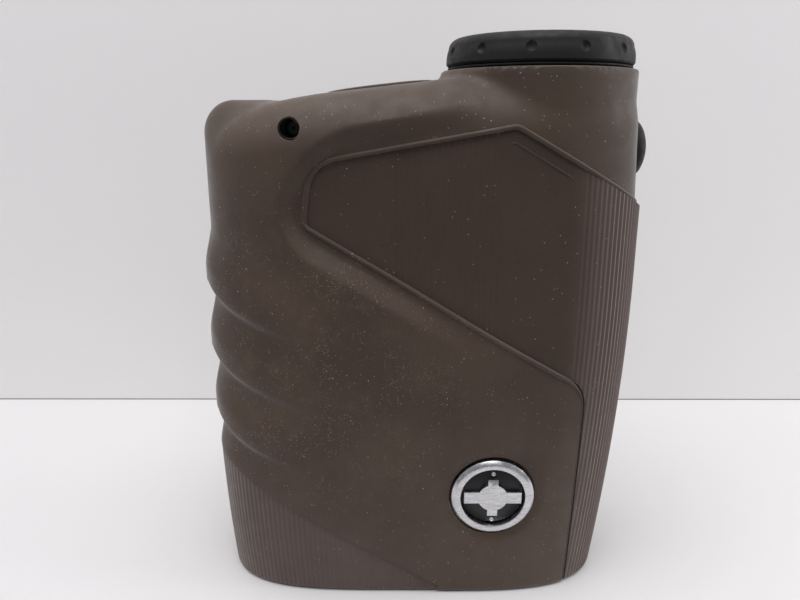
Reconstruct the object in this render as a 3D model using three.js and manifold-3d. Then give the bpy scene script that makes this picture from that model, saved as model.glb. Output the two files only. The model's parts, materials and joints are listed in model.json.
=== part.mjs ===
// Hand-held laser rangefinder monocular, standing on its front (lens) end.
// Millimetres. +Z runs from the lenses to the eyepiece, +X is the top in use (fire button side),
// -X is the side the fingers hold, and -Y is the right-hand side. The origin is the middle of the
// front end, on the surface that the object stands on.
import * as THREE from 'three';
import { mergeVertices } from 'three/addons/utils/BufferGeometryUtils.js';
import Module from 'manifold-3d';

const wasm = await Module();
wasm.setup();

// ---------------------------------------------------------------------------
// Driving dimensions
// ---------------------------------------------------------------------------
const HEIGHT = 95;              // front end to eyepiece rim
const FINGER_CREST = -37.7;     // furthest point of the finger ridges
const TOP_CREST = 36.4;         // furthest point of the ribbed top
const BUTTON_TIP = 37.4;        // dome of the fire button
const HALF_THICKNESS = 17.5;    // half the thickness at the waist
const FRONT_HALF_THICKNESS = 15.4;
const SKIN = 1.2;               // rubber armour
const GAP = 0.3;                // clearance between neighbouring pieces
const WALL = 1.7;               // hard shell
const SHELL_INSET = SKIN + GAP;
const CAVITY_INSET = SHELL_INSET + WALL;
const SEAM = 0.15;              // each half stops this far from the mid-plane

const TOWER = { x: 18.9, radius: 15.9, top: 89.5 };    // eyepiece tower
const REAR = { z: 87.65, slope: 0.112 };                // rear face height at x = 0, and its rise
const BUTTON = { z: 77, radius: 4.9 };                 // fire button
const MODE = { x: -19, z: 60, radius: 3.4 };           // mode button on the left-hand side
const MEDALLION = { x: 11.7, z: 19.9, radius: 7 };
const STRAP = { x: -20.6, z: 80.6, radius: 1.3 };      // lanyard pin
const VIEW = { x: 16.9, radius: 9.2 };                 // viewing objective
const RECEIVER = { x: -11.5, radius: 10.7 };           // receiver lens
const BATTERY = { x: -7.4, radius: 7.8, length: 27 };  // CR2 cell

const RIGHT = -1;   // side of the mid-plane, as the sign of y
const LEFT = 1;

// ---------------------------------------------------------------------------
// Materials
// ---------------------------------------------------------------------------
const material = (color, roughness, metalness = 0) =>
  new THREE.MeshStandardMaterial({ color, roughness, metalness });
const LOOK = {
  armour: material(0x4a3f39, 0.75),
  shell: material(0x443a34, 0.6),
  blackRubber: material(0x1c1c1d, 0.8),
  blackPlastic: material(0x202022, 0.5),
  greyPlastic: material(0x55585c, 0.5),
  silver: material(0xb9bcc0, 0.25, 1),
  steel: material(0x9a9da1, 0.35, 1),
  brass: material(0xb08d45, 0.35, 1),
  glass: material(0x9fb8c8, 0.05),
  board: material(0x1f5a3a, 0.6),
  battery: material(0x2f3a4a, 0.4),
};

// ---------------------------------------------------------------------------
// Solids from three.js geometry
// ---------------------------------------------------------------------------
function signedVolume(positions, triangles) {
  const a = new THREE.Vector3();
  const b = new THREE.Vector3();
  const c = new THREE.Vector3();
  let volume = 0;
  for (let i = 0; i < triangles.length; i += 3) {
    a.fromArray(positions, 3 * triangles[i]);
    b.fromArray(positions, 3 * triangles[i + 1]);
    c.fromArray(positions, 3 * triangles[i + 2]);
    volume += a.dot(b.cross(c));
  }
  return volume;
}

// A closed geometry becomes a solid: shared vertices merged, slivers at poles dropped, faces out.
function solid(geometry) {
  const bare = geometry.clone();
  bare.deleteAttribute('normal');
  bare.deleteAttribute('uv');
  const merged = mergeVertices(bare, 1e-4);
  const positions = merged.attributes.position.array;
  const index = merged.index.array;
  const triangles = [];
  for (let i = 0; i < index.length; i += 3) {
    const [a, b, c] = [index[i], index[i + 1], index[i + 2]];
    if (a !== b && b !== c && c !== a) triangles.push(a, b, c);
  }
  if (signedVolume(positions, triangles) < 0) triangles.reverse();
  return new wasm.Manifold(new wasm.Mesh({
    numProp: 3,
    vertProperties: new Float32Array(positions),
    triVerts: new Uint32Array(triangles),
  }));
}

function geometryOf(body) {
  const mesh = body.getMesh();
  const geometry = new THREE.BufferGeometry();
  geometry.setAttribute('position', new THREE.BufferAttribute(mesh.vertProperties, 3));
  geometry.setIndex(new THREE.BufferAttribute(mesh.triVerts, 1));
  geometry.computeVertexNormals();
  return geometry;
}

const unite = (first, ...rest) => rest.reduce((sum, next) => sum.add(next), first);
const cut = (first, ...rest) => rest.reduce((left, next) => left.subtract(next), first);

function boxGeometry(x0, x1, y0, y1, z0, z1) {
  const geometry = new THREE.BoxGeometry(x1 - x0, y1 - y0, z1 - z0);
  return geometry.translate((x0 + x1) / 2, (y0 + y1) / 2, (z0 + z1) / 2);
}
const box = (...sides) => solid(boxGeometry(...sides));

// A turned solid about +Z. The profile is a closed loop of [radius, height] points, or an open
// one that starts and ends on the axis.
function turned(profile, sides = 18) {
  const points = profile.map(([radius, height]) => new THREE.Vector2(radius, height));
  const onAxis = profile[0][0] === 0 && profile[profile.length - 1][0] === 0;
  if (!onAxis) points.push(points[0].clone());
  return new THREE.LatheGeometry(points, sides).rotateX(Math.PI / 2);
}
const rod = (radius, z0, z1, sides = 18) =>
  turned([[0, z0], [radius, z0], [radius, z1], [0, z1]], sides);
const tube = (outer, inner, z0, z1, sides = 18) =>
  turned([[inner, z0], [outer, z0], [outer, z1], [inner, z1]], sides);
const alongX = (geometry) => geometry.rotateY(Math.PI / 2);
const alongY = (geometry) => geometry.rotateX(-Math.PI / 2);

// A plate whose outline is drawn in the side view (x, z), through the whole thickness from y0 to y1.
function sidePlate(outline, y0, y1) {
  const shape = new THREE.Shape(outline.map(([x, z]) => new THREE.Vector2(x, z)));
  const geometry = new THREE.ExtrudeGeometry(shape, { depth: y1 - y0, bevelEnabled: false });
  return geometry.rotateX(Math.PI / 2).translate(0, y1, 0);
}

// ---------------------------------------------------------------------------
// The outer form
// ---------------------------------------------------------------------------
const SECTION_WIDTH_POWER = 4;        // how square the section is across its width
const SECTION_THICKNESS_POWER = 2.6;  // and through its thickness
const RIDGE = { depth: 0.8, pitch: 11.7, top: 59, slope: 0.5, reach: 13 };
const STEP_ABOVE_RIBS = 1;            // the armour above the ribbed top lies this much lower
const REAR_TAPER = 0.042;             // and narrows towards the eyepiece by this much per mm
const RIBS_END = 68;
const SHOULDER = { inward: 6, height: 7, endInward: 3.6, endHeight: 4.6 };
const EDGE_ROUND = 0.9;

const clamp = THREE.MathUtils.clamp;
const smooth = THREE.MathUtils.smoothstep;

// How deep the finger valleys are cut at height z: full under the rear, gone near the front end.
function valley(z) {
  const wave = 0.5 - 0.5 * Math.cos((2 * Math.PI * (z - RIDGE.top)) / RIDGE.pitch);
  const deepest = z > RIDGE.top + RIDGE.pitch / 2 ? 1 : wave;
  return RIDGE.depth * deepest * smooth(z, 18, 45);
}
const fingerEdge = (z) => FINGER_CREST + 0.6 * (Math.max(0, 45 - z) / 45) ** 2;
const topEdge = (z) => (z > RIBS_END ? TOP_CREST - STEP_ABOVE_RIBS - REAR_TAPER * (z - RIBS_END)
  : TOP_CREST - 3.8 * (Math.max(0, 55 - z) / 55) ** 1.8);
const halfThickness = (z) => (z < 45
  ? HALF_THICKNESS - (HALF_THICKNESS - FRONT_HALF_THICKNESS) * ((45 - z) / 45) ** 2
  : HALF_THICKNESS - 0.6 * ((z - 45) / 40) ** 2);
const rearHeight = (x) => REAR.z + REAR.slope * x;

// Unit section point at angle phi: +1 in x at phi = 0, and y positive up to phi = pi.
function sectionPoint(phi) {
  const across = Math.sign(Math.cos(phi)) * Math.abs(Math.cos(phi)) ** (2 / SECTION_WIDTH_POWER);
  const through = Math.sign(Math.sin(phi)) * Math.abs(Math.sin(phi)) ** (2 / SECTION_THICKNESS_POWER);
  return [across, through];
}

// Angles of the section columns, evenly spaced along the outline, with columns on the mid-plane.
function sectionAngles(columns) {
  const fine = 2000;
  const lengths = [0];
  let previous = sectionPoint(0);
  for (let i = 1; i <= fine; i++) {
    const point = sectionPoint((Math.PI * i) / fine);
    const step = Math.hypot(36 * (point[0] - previous[0]), 17 * (point[1] - previous[1]));
    lengths.push(lengths[i - 1] + step);
    previous = point;
  }
  const half = columns / 2;
  const angles = [];
  for (let k = 0; k < half; k++) {
    const target = (lengths[fine] * k) / half;
    angles.push((Math.PI * lengths.findIndex((length) => length >= target)) / fine);
  }
  return [...angles, Math.PI, ...angles.slice(1).map((angle) => 2 * Math.PI - angle).reverse()];
}

// Point of the outer form at a column's angle and a height, drawn in by an inset all round.
function wallPoint(phi, z, inset, ridged) {
  const [across, through] = sectionPoint(phi);
  const finger = fingerEdge(z) + inset;
  const top = topEdge(z) - inset;
  let x = (finger + top) / 2 + ((top - finger) / 2) * across;
  const y = (halfThickness(z) - inset) * through;
  if (ridged || z > RIDGE.top) {
    const nearness = 1 - smooth(x - finger, 0, RIDGE.reach);
    x += valley(z) * nearness * Math.max(0, -across);
  }
  return [x, y, z];
}

// The shoulder leans in from the wall towards the rear face, but never past the tower's foot.
function shoulderPoint(phi, turn, inset, ridged) {
  const low = wallPoint(phi, 76, inset, ridged);
  const toAxis = Math.hypot(low[0] - TOWER.x, low[1]);
  const room = Math.max(0.3, toAxis - (TOWER.radius - inset) + 0.5);
  const sideways = Math.min(1, Math.abs(low[1]) / (0.8 * HALF_THICKNESS));
  const wide = THREE.MathUtils.lerp(SHOULDER.endInward, SHOULDER.inward, sideways);
  const high = THREE.MathUtils.lerp(SHOULDER.endHeight, SHOULDER.height, sideways);
  const inward = Math.min(wide, room) * (1 - Math.cos(turn));
  const middle = -6;
  const aim = Math.hypot(low[0] - middle, low[1]);
  const x = low[0] - (inward * (low[0] - middle)) / aim;
  const y = low[1] - (inward * low[1]) / aim;
  const z = rearHeight(x) - inset - high * (1 - Math.sin(turn));
  return [x, y, z];
}

// Closed loft of the body below the eyepiece tower. heights are the levels of the wall rings.
function bodyLoft({ inset = 0, heights, columns, ridged = false, bottom = 0, rounded = false }) {
  const angles = sectionAngles(columns);
  const rings = [];
  if (rounded) rings.push(angles.map((phi) => wallPoint(phi, bottom, inset + EDGE_ROUND, ridged)));
  for (const height of heights) {
    const tilt = ridged ? smooth(height, 5, 30) * (1 - smooth(height, 61, 66)) : 0;
    rings.push(angles.map((phi) => {
      const [x] = wallPoint(phi, height, inset, false);
      const lean = RIDGE.slope * tilt * clamp(x - FINGER_CREST, 0, RIDGE.reach);
      return wallPoint(phi, height - lean, inset, ridged);
    }));
  }
  const turns = ridged ? [0, 0.5, 1, Math.PI / 2] : [0, 0.8, Math.PI / 2];
  for (const turn of turns) {
    rings.push(angles.map((phi) => shoulderPoint(phi, turn, inset, ridged)));
  }
  const count = angles.length;
  const positions = rings.flat(2);
  const triangles = [];
  for (let r = 0; r + 1 < rings.length; r++) {
    for (let k = 0; k < count; k++) {
      const a = r * count + k;
      const b = r * count + ((k + 1) % count);
      triangles.push(a, b, b + count, a, b + count, a + count);
    }
  }
  const centre = (TOP_CREST + FINGER_CREST) / 2;
  const floorCentre = positions.length / 3;
  const roofCentre = floorCentre + 1;
  positions.push(centre, 0, bottom, centre, 0, rearHeight(centre) - inset);
  const last = (rings.length - 1) * count;
  for (let k = 0; k < count; k++) {
    const next = (k + 1) % count;
    triangles.push(floorCentre, next, k, roofCentre, last + k, last + next);
  }
  const geometry = new THREE.BufferGeometry();
  geometry.setAttribute('position', new THREE.Float32BufferAttribute(positions, 3));
  geometry.setIndex(triangles);
  return solid(geometry);
}

const COARSE_LEVELS = [20, 42, 67, 76];
const FINE_LEVELS = [EDGE_ROUND, 10, 24, 30, 35.8, 41.6, 47.4, 53.2, 59, 64.8, 67.8, 68.4, 76];
const TOWER_SIDES = 28;

function outerForm() {
  const body = bodyLoft({ heights: FINE_LEVELS, columns: 32, ridged: true, rounded: true });
  const tower = solid(rod(TOWER.radius, 60, TOWER.top, TOWER_SIDES).translate(TOWER.x, 0, 0));
  return body.subtract(box(-50, 50, -20, 20, 88, 99)).add(tower);
}

function innerForm(inset, bottom, top) {
  const body = bodyLoft({ inset, heights: [bottom, ...COARSE_LEVELS], columns: 20, bottom });
  const tower = solid(rod(TOWER.radius - inset, 60, top, TOWER_SIDES).translate(TOWER.x, 0, 0));
  return body.subtract(box(-50, 50, -20, 20, 88 - inset, 99)).add(tower);
}

// ---------------------------------------------------------------------------
// Outlines in the side view
// ---------------------------------------------------------------------------
// A round corner at b between the lines a-b and b-c, as a few points of its arc.
function roundCorner(a, b, c, radius, steps = 3) {
  const corner = new THREE.Vector2(...b);
  const before = new THREE.Vector2(...a).sub(corner).normalize();
  const after = new THREE.Vector2(...c).sub(corner).normalize();
  const halfAngle = Math.acos(clamp(before.dot(after), -1, 1)) / 2;
  const reach = radius / Math.tan(halfAngle);
  const start = corner.clone().addScaledVector(before, reach);
  const end = corner.clone().addScaledVector(after, reach);
  const curve = new THREE.QuadraticBezierCurve(start, corner, end);
  return curve.getPoints(steps).map((point) => [point.x, point.y]);
}

// The textured panel: a pentagon across the side, then a strip down the top edge to the front end.
// grow moves its left, upper and lower borders outwards.
function panelOutline(grow) {
  const tip = [-18.6 - grow, 66];
  const rise = [-17.4 - grow, 75.1 + grow];
  const peak = [13.3, 80.6 + grow];
  const topEnd = [42, 64.2 + grow];
  const foot = [42, -2];
  const strip = [25.9 - grow, -2];
  const elbow = [26.7 - grow, 39.5 - grow];
  return [
    ...roundCorner(elbow, tip, rise, 1.2),
    ...roundCorner(tip, rise, peak, 6, 5),
    ...roundCorner(rise, peak, topEnd, 2),
    topEnd,
    foot,
    strip,
    ...roundCorner(strip, elbow, tip, 6.5, 4),
  ];
}

// The textured corner below a line that runs down from the finger side to the front end.
const cornerOutline = (grow) => [
  [-42, 28.5 + grow],
  [2.6 + grow, 1.6],
  [2.6 + grow, -2],
  [-42, -2],
];

// ---------------------------------------------------------------------------
// Shells and armour
// ---------------------------------------------------------------------------
const OUTER = outerForm();
const SKIN_BACK = innerForm(SKIN, -2, 99);
const SHELL_FACE = innerForm(SHELL_INSET, 0, TOWER.top);
const CAVITY = innerForm(CAVITY_INSET, -2, 99);

const SCREWS = [
  { x: -28.6, z: 10 },
  { x: -28, z: 70 },
  { x: -28.8, z: 41 },
  { x: 1.2, z: 29 },
  { x: 29.2, z: 47 },
];
const SCREW = { shaft: 1, head: 2.1, seat: 9.8, headHeight: 1.5, tip: -9.5, boss: 3.3 };

const halfSpace = (side) => (side === RIGHT ? box(-50, 50, -30, -SEAM, -5, 99)
  : box(-50, 50, SEAM, 30, -5, 99));
const through = (outline) => solid(sidePlate(outline, -30, 30));
const crossRod = (radius, y0, y1, { x, z }, sides = 12) =>
  solid(alongY(rod(radius, y0, y1, sides)).translate(x, 0, z));
const buttonHole = (radius) => solid(alongX(rod(radius, 26, 45, 18)).translate(0, 0, BUTTON.z));
const modeHole = (radius) => crossRod(radius, 11.8, 30, MODE, 18);
const strapPocket = (grow, top) =>
  box(STRAP.x - 4 - grow, STRAP.x + 3.2 + grow, -4.5 - grow, 4.5 + grow, 76 - grow, top);

// The battery bay is turned so that its local +Z is the normal of the sloping rear face.
const bay = new THREE.Group();
bay.position.set(BATTERY.x, 0, rearHeight(BATTERY.x));
bay.rotation.y = -Math.atan(REAR.slope);
bay.updateMatrix();
const inBay = (geometry) => solid(geometry.clone().applyMatrix4(bay.matrix));
const BAY_HOLE = 9.35;

// The medallion lies on the right-hand side, turned to follow the taper of that face. Its local
// +Z points out of the face.
const medallion = new THREE.Group();
medallion.position.set(MEDALLION.x, -16.72, MEDALLION.z);
medallion.rotation.x = Math.PI / 2 + 0.05;
medallion.updateMatrix();
const medallionHole = (radius) => solid(rod(radius, -1.6, 6, 24).applyMatrix4(medallion.matrix));

function armour(side) {
  const skin = OUTER.subtract(SKIN_BACK).intersect(halfSpace(side));
  let open = cut(skin, through(panelOutline(GAP / 2)), through(cornerOutline(GAP / 2)));
  open = cut(open, crossRod(STRAP.radius + 0.4, -30, 30, STRAP), strapPocket(GAP, 99));
  open = cut(open, buttonHole(BUTTON.radius + 0.5), inBay(rod(BAY_HOLE, -8, 8, 24)));
  return side === RIGHT ? open.subtract(medallionHole(MEDALLION.radius + GAP))
    : open.subtract(modeHole(MODE.radius + GAP));
}

function shell(side) {
  const raised = unite(through(panelOutline(-GAP / 2)), through(cornerOutline(-GAP / 2)));
  const bosses = SCREWS.map((screw) => crossRod(SCREW.boss, -30, 30, screw));
  const blocks = unite(strapPocket(1.6, 99), ...bosses).intersect(innerForm(SHELL_INSET + 0.4, 0, TOWER.top));
  let body = SHELL_FACE.add(OUTER.intersect(raised)).subtract(CAVITY).add(blocks);
  body = cut(body, strapPocket(0, 99), crossRod(STRAP.radius + GAP, -30, 30, STRAP));
  body = cut(body, buttonHole(BUTTON.radius + GAP), inBay(rod(BAY_HOLE, -8, 8, 24)));
  const gasketRebate = innerForm(SHELL_INSET + 0.8, -2, 99).intersect(box(-50, 50, -0.8, 0.8, -5, 99));
  body = body.subtract(gasketRebate).intersect(halfSpace(side));
  if (side === LEFT) body = body.subtract(modeHole(MODE.radius + GAP));
  for (const screw of SCREWS) {
    body = body.subtract(crossRod(SCREW.shaft + GAP, -11, 30, screw));
    if (side === LEFT) body = body.subtract(crossRod(SCREW.head + GAP, SCREW.seat, 30, screw));
  }
  return body;
}

// The gasket lies in the rebate between the halves, as one strip up each edge of the body.
function gasket(region) {
  const outer = innerForm(SHELL_INSET + 0.8 + GAP, 4, TOWER.top);
  return outer.subtract(innerForm(CAVITY_INSET - 0.1, -2, 99)).intersect(region);
}

function frontBezel() {
  const plate = innerForm(CAVITY_INSET + GAP, 0, 80).intersect(box(-50, 50, -20, 20, -1, 2.6));
  const viewHole = solid(rod(VIEW.radius - 0.4, -3, 6, 28).translate(VIEW.x, 0, 0));
  const receiverHole = solid(rod(RECEIVER.radius - 0.5, -3, 6, 28).translate(RECEIVER.x, 0, 0));
  return cut(plate, viewHole, receiverHole);
}

function housingScrew() {
  const { shaft, head, seat, headHeight, tip } = SCREW;
  const top = seat + 0.1 + headHeight;
  const body = rod(shaft, tip, seat + 0.1, 8);
  const turnedHead = rod(head, seat + 0.1, top, 10);
  const slot = box(-0.35, 0.35, -5, 5, top - 0.7, top + 1);
  return solid(turnedHead).add(solid(body)).subtract(slot);
}

// ---------------------------------------------------------------------------
// Lenses, cells and prisms
// ---------------------------------------------------------------------------
// A lens between heights z0 and z1 whose two faces bulge by the given amounts.
function lens(radius, z0, z1, bulgeLow, bulgeHigh, sides = 16) {
  const steps = 2;
  const profile = [];
  for (let i = 0; i <= steps; i++) {
    const r = (radius * i) / steps;
    profile.push([r, z0 + bulgeLow * (i / steps) ** 2]);
  }
  for (let i = steps; i >= 0; i--) {
    const r = (radius * i) / steps;
    profile.push([r, z1 - bulgeHigh * (i / steps) ** 2]);
  }
  return solid(turned(profile, sides));
}

const objectiveCell = () => solid(turned([[8.8, 2.9], [10.5, 2.9], [10.5, 20], [9.5, 20], [9.5, 4.1], [8.8, 4.1]]));
const receiverCell = () => solid(turned([
  [10.2, 2.9], [11.7, 2.9], [11.7, 10], [6.5, 38], [5.5, 38], [10.9, 10.2], [11, 9.8], [11, 4.1], [10.2, 4.1],
]));
const ocularCell = () => solid(turned([
  [7.9, 73.5], [8.8, 73.5], [8.8, 83.4], [10.3, 84.4], [10.3, 92.2], [9.3, 92.2], [9.3, 85], [7.9, 83.6],
]));

function diopterRing() {
  const ring = turned([
    [12.8, 90.2], [15, 90.2], [15.25, 90.5], [15.25, 93.9], [14.9, 94.6], [14.2, HEIGHT],
    [11.2, HEIGHT], [10, 93.6], [12.8, 93.4],
  ], 36);
  const dimples = [];
  for (let i = 0; i < 12; i++) {
    const angle = THREE.MathUtils.degToRad(-75 + 30 * i);
    const dimple = new THREE.SphereGeometry(1.5, 6, 4);
    dimples.push(solid(dimple.translate(15.9 * Math.cos(angle), 15.9 * Math.sin(angle), 92.2)));
  }
  return cut(solid(ring), ...dimples);
}

function opticalChassis() {
  const frame = box(5.8, 25.6, -9.4, 9.9, 22, 70);
  const inside = box(7.8, 23.6, -12, 9.2, 24, 68);
  const lowHole = solid(rod(6.5, 20, 25).translate(VIEW.x - 1.2, 0, 0));
  const highHole = solid(rod(5, 67, 72).translate(TOWER.x, 0, 0));
  const laserHole = solid(alongX(rod(2, 5, 9, 14)).translate(0, 0, 40));
  const screwHoles = PRISM_SCREWS.map((place) => crossRod(0.75, -12, -5, place, 8));
  return cut(frame, inside, lowHole, highHole, laserHole, ...screwHoles);
}
const PRISM_SCREWS = [{ x: 6.8, z: 36 }, { x: 24.6, z: 52 }];

const prismHalf = () => solid(sidePlate([[8.4, 27], [23, 27], [23, 41]], -7.5, 7.5));
const prismRoof = () => solid(sidePlate([[8.4, 29.4], [22.4, 42.8], [23, 46], [23, 60], [8.4, 60]], -7.5, 7.5));
function prismClip() {
  const plate = box(6, 25.4, -10.5, -9.7, 33, 55);
  const window = box(10, 21.4, -13, -9, 38, 50);
  return cut(plate, window, ...PRISM_SCREWS.map((place) => crossRod(0.75, -13, -9, place, 8)));
}
const prismScrew = () => solid(rod(1.3, -11.3, -10.6, 10)).add(solid(rod(0.55, -10.6, -6.5, 8)));

// ---------------------------------------------------------------------------
// Electronics
// ---------------------------------------------------------------------------
function mainBoard() {
  const notch = crossRod(SCREW.boss + GAP, -20, 20, SCREWS[3]);
  return box(-24, 1.5, 10, 11, 21, 69).subtract(notch);
}
const displayRibbon = () => box(11.8, 14, 7.8, 9.6, 71, 71.3)
  .add(box(11.8, 14, 9.3, 9.6, 70.3, 71.3))
  .add(box(-1, 14, 9.3, 9.6, 70.3, 70.6))
  .add(box(-1, 1, 9.3, 9.6, 62, 70.6));
const laserDiode = () => solid(alongX(turned([[0, 0.7], [2.8, 0.7], [2.8, 1.6], [2.2, 1.6], [2.2, 5.4], [0, 5.4]], 16))
  .translate(0, 0, 40));

function wire(points, radius = 0.5) {
  const section = new THREE.Shape();
  section.absarc(0, 0, radius, 0, 2 * Math.PI);
  const path = new THREE.CatmullRomCurve3(points.map((point) => new THREE.Vector3(...point)));
  return solid(new THREE.ExtrudeGeometry(section, { steps: 8, curveSegments: 4, bevelEnabled: false, extrudePath: path }));
}

// ---------------------------------------------------------------------------
// Battery bay, in the bay's own frame
// ---------------------------------------------------------------------------
const batteryTube = () => solid(turned([[0, -36], [8.9, -36], [8.9, -1.9], [8.1, -1.9], [8.1, -35.2], [0, -35.2]]));
const batteryCell = () => {
  const low = -5.6 - 0.6 - BATTERY.length + 0.6;
  return solid(turned([
    [0, low], [7.4, low], [BATTERY.radius, low + 0.4], [BATTERY.radius, -6.6], [7.4, -6.2], [3, -6.2], [3, -5.6], [0, -5.6],
  ]));
};

function batterySpring() {
  const turns = 2.5;
  const points = [];
  const count = 30;
  for (let i = 0; i <= count; i++) {
    const along = i / count;
    const angle = 2 * Math.PI * turns * along;
    const radius = 6 - 3 * along;
    points.push([radius * Math.cos(angle), radius * Math.sin(angle), -34.6 + 1.5 * along]);
  }
  const section = new THREE.Shape();
  section.absarc(0, 0, 0.3, 0, 2 * Math.PI);
  const path = new THREE.CatmullRomCurve3(points.map((point) => new THREE.Vector3(...point)));
  return solid(new THREE.ExtrudeGeometry(section, { steps: 26, curveSegments: 2, bevelEnabled: false, extrudePath: path }));
}

// Flip-up tab: a half ring that lies in the cap, on two trunnions along local X.
const TAB = { outer: 7.4, inner: 5.6, thick: 0.75, floor: 0, trunnion: 0.35, reach: 8 };
function halfRing(outer, inner, z0, z1) {
  const shape = new THREE.Shape();
  shape.absarc(0, 0, outer, 0, Math.PI, false);
  shape.absarc(0, 0, inner, Math.PI, 0, true);
  return solid(new THREE.ExtrudeGeometry(shape, { depth: z1 - z0, curveSegments: 7, bevelEnabled: false })
    .translate(0, 0, z0));
}
const trunnion = (radius, from, to) =>
  solid(alongX(rod(radius, from, to, 10)).translate(0, 0, TAB.floor + TAB.thick / 2));
const batteryCapTab = () => unite(
  halfRing(TAB.outer, TAB.inner, TAB.floor, TAB.floor + TAB.thick),
  trunnion(TAB.trunnion, -TAB.reach, -TAB.inner - 0.5),
  trunnion(TAB.trunnion, TAB.inner + 0.5, TAB.reach),
);
function batteryCap() {
  const cap = solid(turned([
    [0, -4.6], [7.8, -4.6], [7.8, -3.5], [7.1, -3.5], [7.1, -2.6], [7.8, -2.6], [7.8, -1.5],
    [9, -1.5], [9, 0.5], [8.7, 0.8], [0, 0.8],
  ], 24));
  const recess = halfRing(TAB.outer + GAP, TAB.inner - GAP, TAB.floor - GAP, 2);
  const slots = [-1, 1].map((end) => {
    const from = Math.min(end * (TAB.inner - GAP), end * (TAB.reach + GAP));
    const to = Math.max(end * (TAB.inner - GAP), end * (TAB.reach + GAP));
    return box(from, to, -0.8, 0.8, TAB.floor - GAP, 2);
  });
  return cut(cap, recess, ...slots);
}

// ---------------------------------------------------------------------------
// Medallion, in its own frame (+Z out of the face)
// ---------------------------------------------------------------------------
const medallionRing = () => solid(turned([[5.5, -1.2], [6.9, -1.2], [6.9, -0.2], [6.6, 0.1], [5.8, 0.1], [5.5, -0.2]], 28));
const medallionDisc = () => solid(rod(5.2, -1.2, -0.75, 24));
function medallionEmblem() {
  const hub = solid(rod(2.3, -0.45, 0, 16));
  return unite(hub, box(-4.3, 4.3, -0.7, 0.7, -0.45, 0), box(-0.7, 0.7, -4.3, 4.3, -0.45, 0));
}

// ---------------------------------------------------------------------------
// The assembly
// ---------------------------------------------------------------------------
const rangefinder = new THREE.Group();
rangefinder.add(bay, medallion);

function place(name, body, look, { parent = rangefinder, at = [0, 0, 0] } = {}) {
  const mesh = new THREE.Mesh(geometryOf(body), look);
  mesh.name = name;
  mesh.position.set(...at);
  parent.add(mesh);
}

place('armour_right', armour(RIGHT), LOOK.armour);
place('armour_left', armour(LEFT), LOOK.armour);
place('housing_right', shell(RIGHT), LOOK.shell);
place('housing_left', shell(LEFT), LOOK.shell);
place('gasket_finger_side', gasket(box(-50, -20, -0.4, 0.4, 0, 72)), LOOK.blackRubber);
place('gasket_top_side', gasket(box(20, 50, -0.4, 0.4, 0, 70)), LOOK.blackRubber);
place('front_bezel', frontBezel(), LOOK.blackPlastic);
SCREWS.forEach(({ x, z }, i) => {
  const body = solid(alongY(geometryOf(housingScrew())));
  place(`housing_screw_${i + 1}`, body, LOOK.steel, { at: [x, 0, z] });
});
place('strap_pin', solid(alongY(rod(STRAP.radius, -11.5, 11.5, 14))), LOOK.steel, { at: [STRAP.x, 0, STRAP.z] });

const atView = { at: [VIEW.x, 0, 0] };
place('objective_cell', objectiveCell(), LOOK.blackPlastic, atView);
place('objective_lens', lens(VIEW.radius, 4.4, 9.4, 1.4, 1), LOOK.glass, atView);
place('objective_retainer', solid(tube(9.2, 8.2, 9.8, 11.4)), LOOK.blackPlastic, atView);
const atReceiver = { at: [RECEIVER.x, 0, 0] };
place('receiver_cell', receiverCell(), LOOK.blackPlastic, atReceiver);
place('receiver_lens', lens(RECEIVER.radius, 4.4, 9.4, 1.5, 1.1), LOOK.glass, atReceiver);
place('receiver_retainer', solid(tube(10.2, 9.2, 9.8, 11)), LOOK.blackPlastic, atReceiver);
place('detector', solid(turned([[0, 38.6], [3.8, 38.6], [3.8, 41.4], [4.6, 41.4], [4.6, 42.4], [0, 42.4]], 18)), LOOK.steel, atReceiver);
place('detector_board', box(-8, 8, -8, 8, 42.8, 44), LOOK.board, atReceiver);

place('optical_chassis', opticalChassis(), LOOK.greyPlastic);
place('prism_half', prismHalf(), LOOK.glass);
place('prism_roof', prismRoof(), LOOK.glass);
place('prism_clip', prismClip(), LOOK.steel);
PRISM_SCREWS.forEach(({ x, z }, i) => {
  const body = solid(alongY(geometryOf(prismScrew())));
  place(`prism_clip_screw_${i + 1}`, body, LOOK.steel, { at: [x, 0, z] });
});
place('laser_diode', laserDiode(), LOOK.brass);
place('laser_board', box(-0.8, 0.4, -7, 7, 34.5, 46), LOOK.board);
place('reticle_display', box(11.5, 25.5, -7.5, 7.5, 70.8, 72), LOOK.glass);
place('display_ribbon', displayRibbon(), LOOK.brass);
place('main_board', mainBoard(), LOOK.board);
place('main_chip', box(-18, -8, 8.9, 9.8, 31, 41), LOOK.blackPlastic);
place('pulse_capacitor', solid(rod(3, 47, 57, 16)), LOOK.battery, { at: [-21, 6.6, 0] });
place('mode_switch', box(-3, 3, 11.1, 11.5, -3, 3), LOOK.steel, { at: [MODE.x, 0, MODE.z] });
place('button_board', box(27.85, 28.25, -5, 5, 71.5, 82.5), LOOK.board);
place('fire_switch', box(28.3, 28.9, -3, 3, -3, 3), LOOK.steel, { at: [0, 0, BUTTON.z] });
place('battery_wire_positive', wire([[-10, 3, 49.9], [-11, 5.6, 47.6], [-12.6, 8, 46.8], [-14, 9.4, 46.6]]), LOOK.battery);
place('battery_wire_negative', wire([[-6, 3, 50.2], [-7, 5.6, 47.8], [-8.6, 8, 47], [-10, 9.4, 46.8]]), LOOK.blackRubber);

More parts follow.
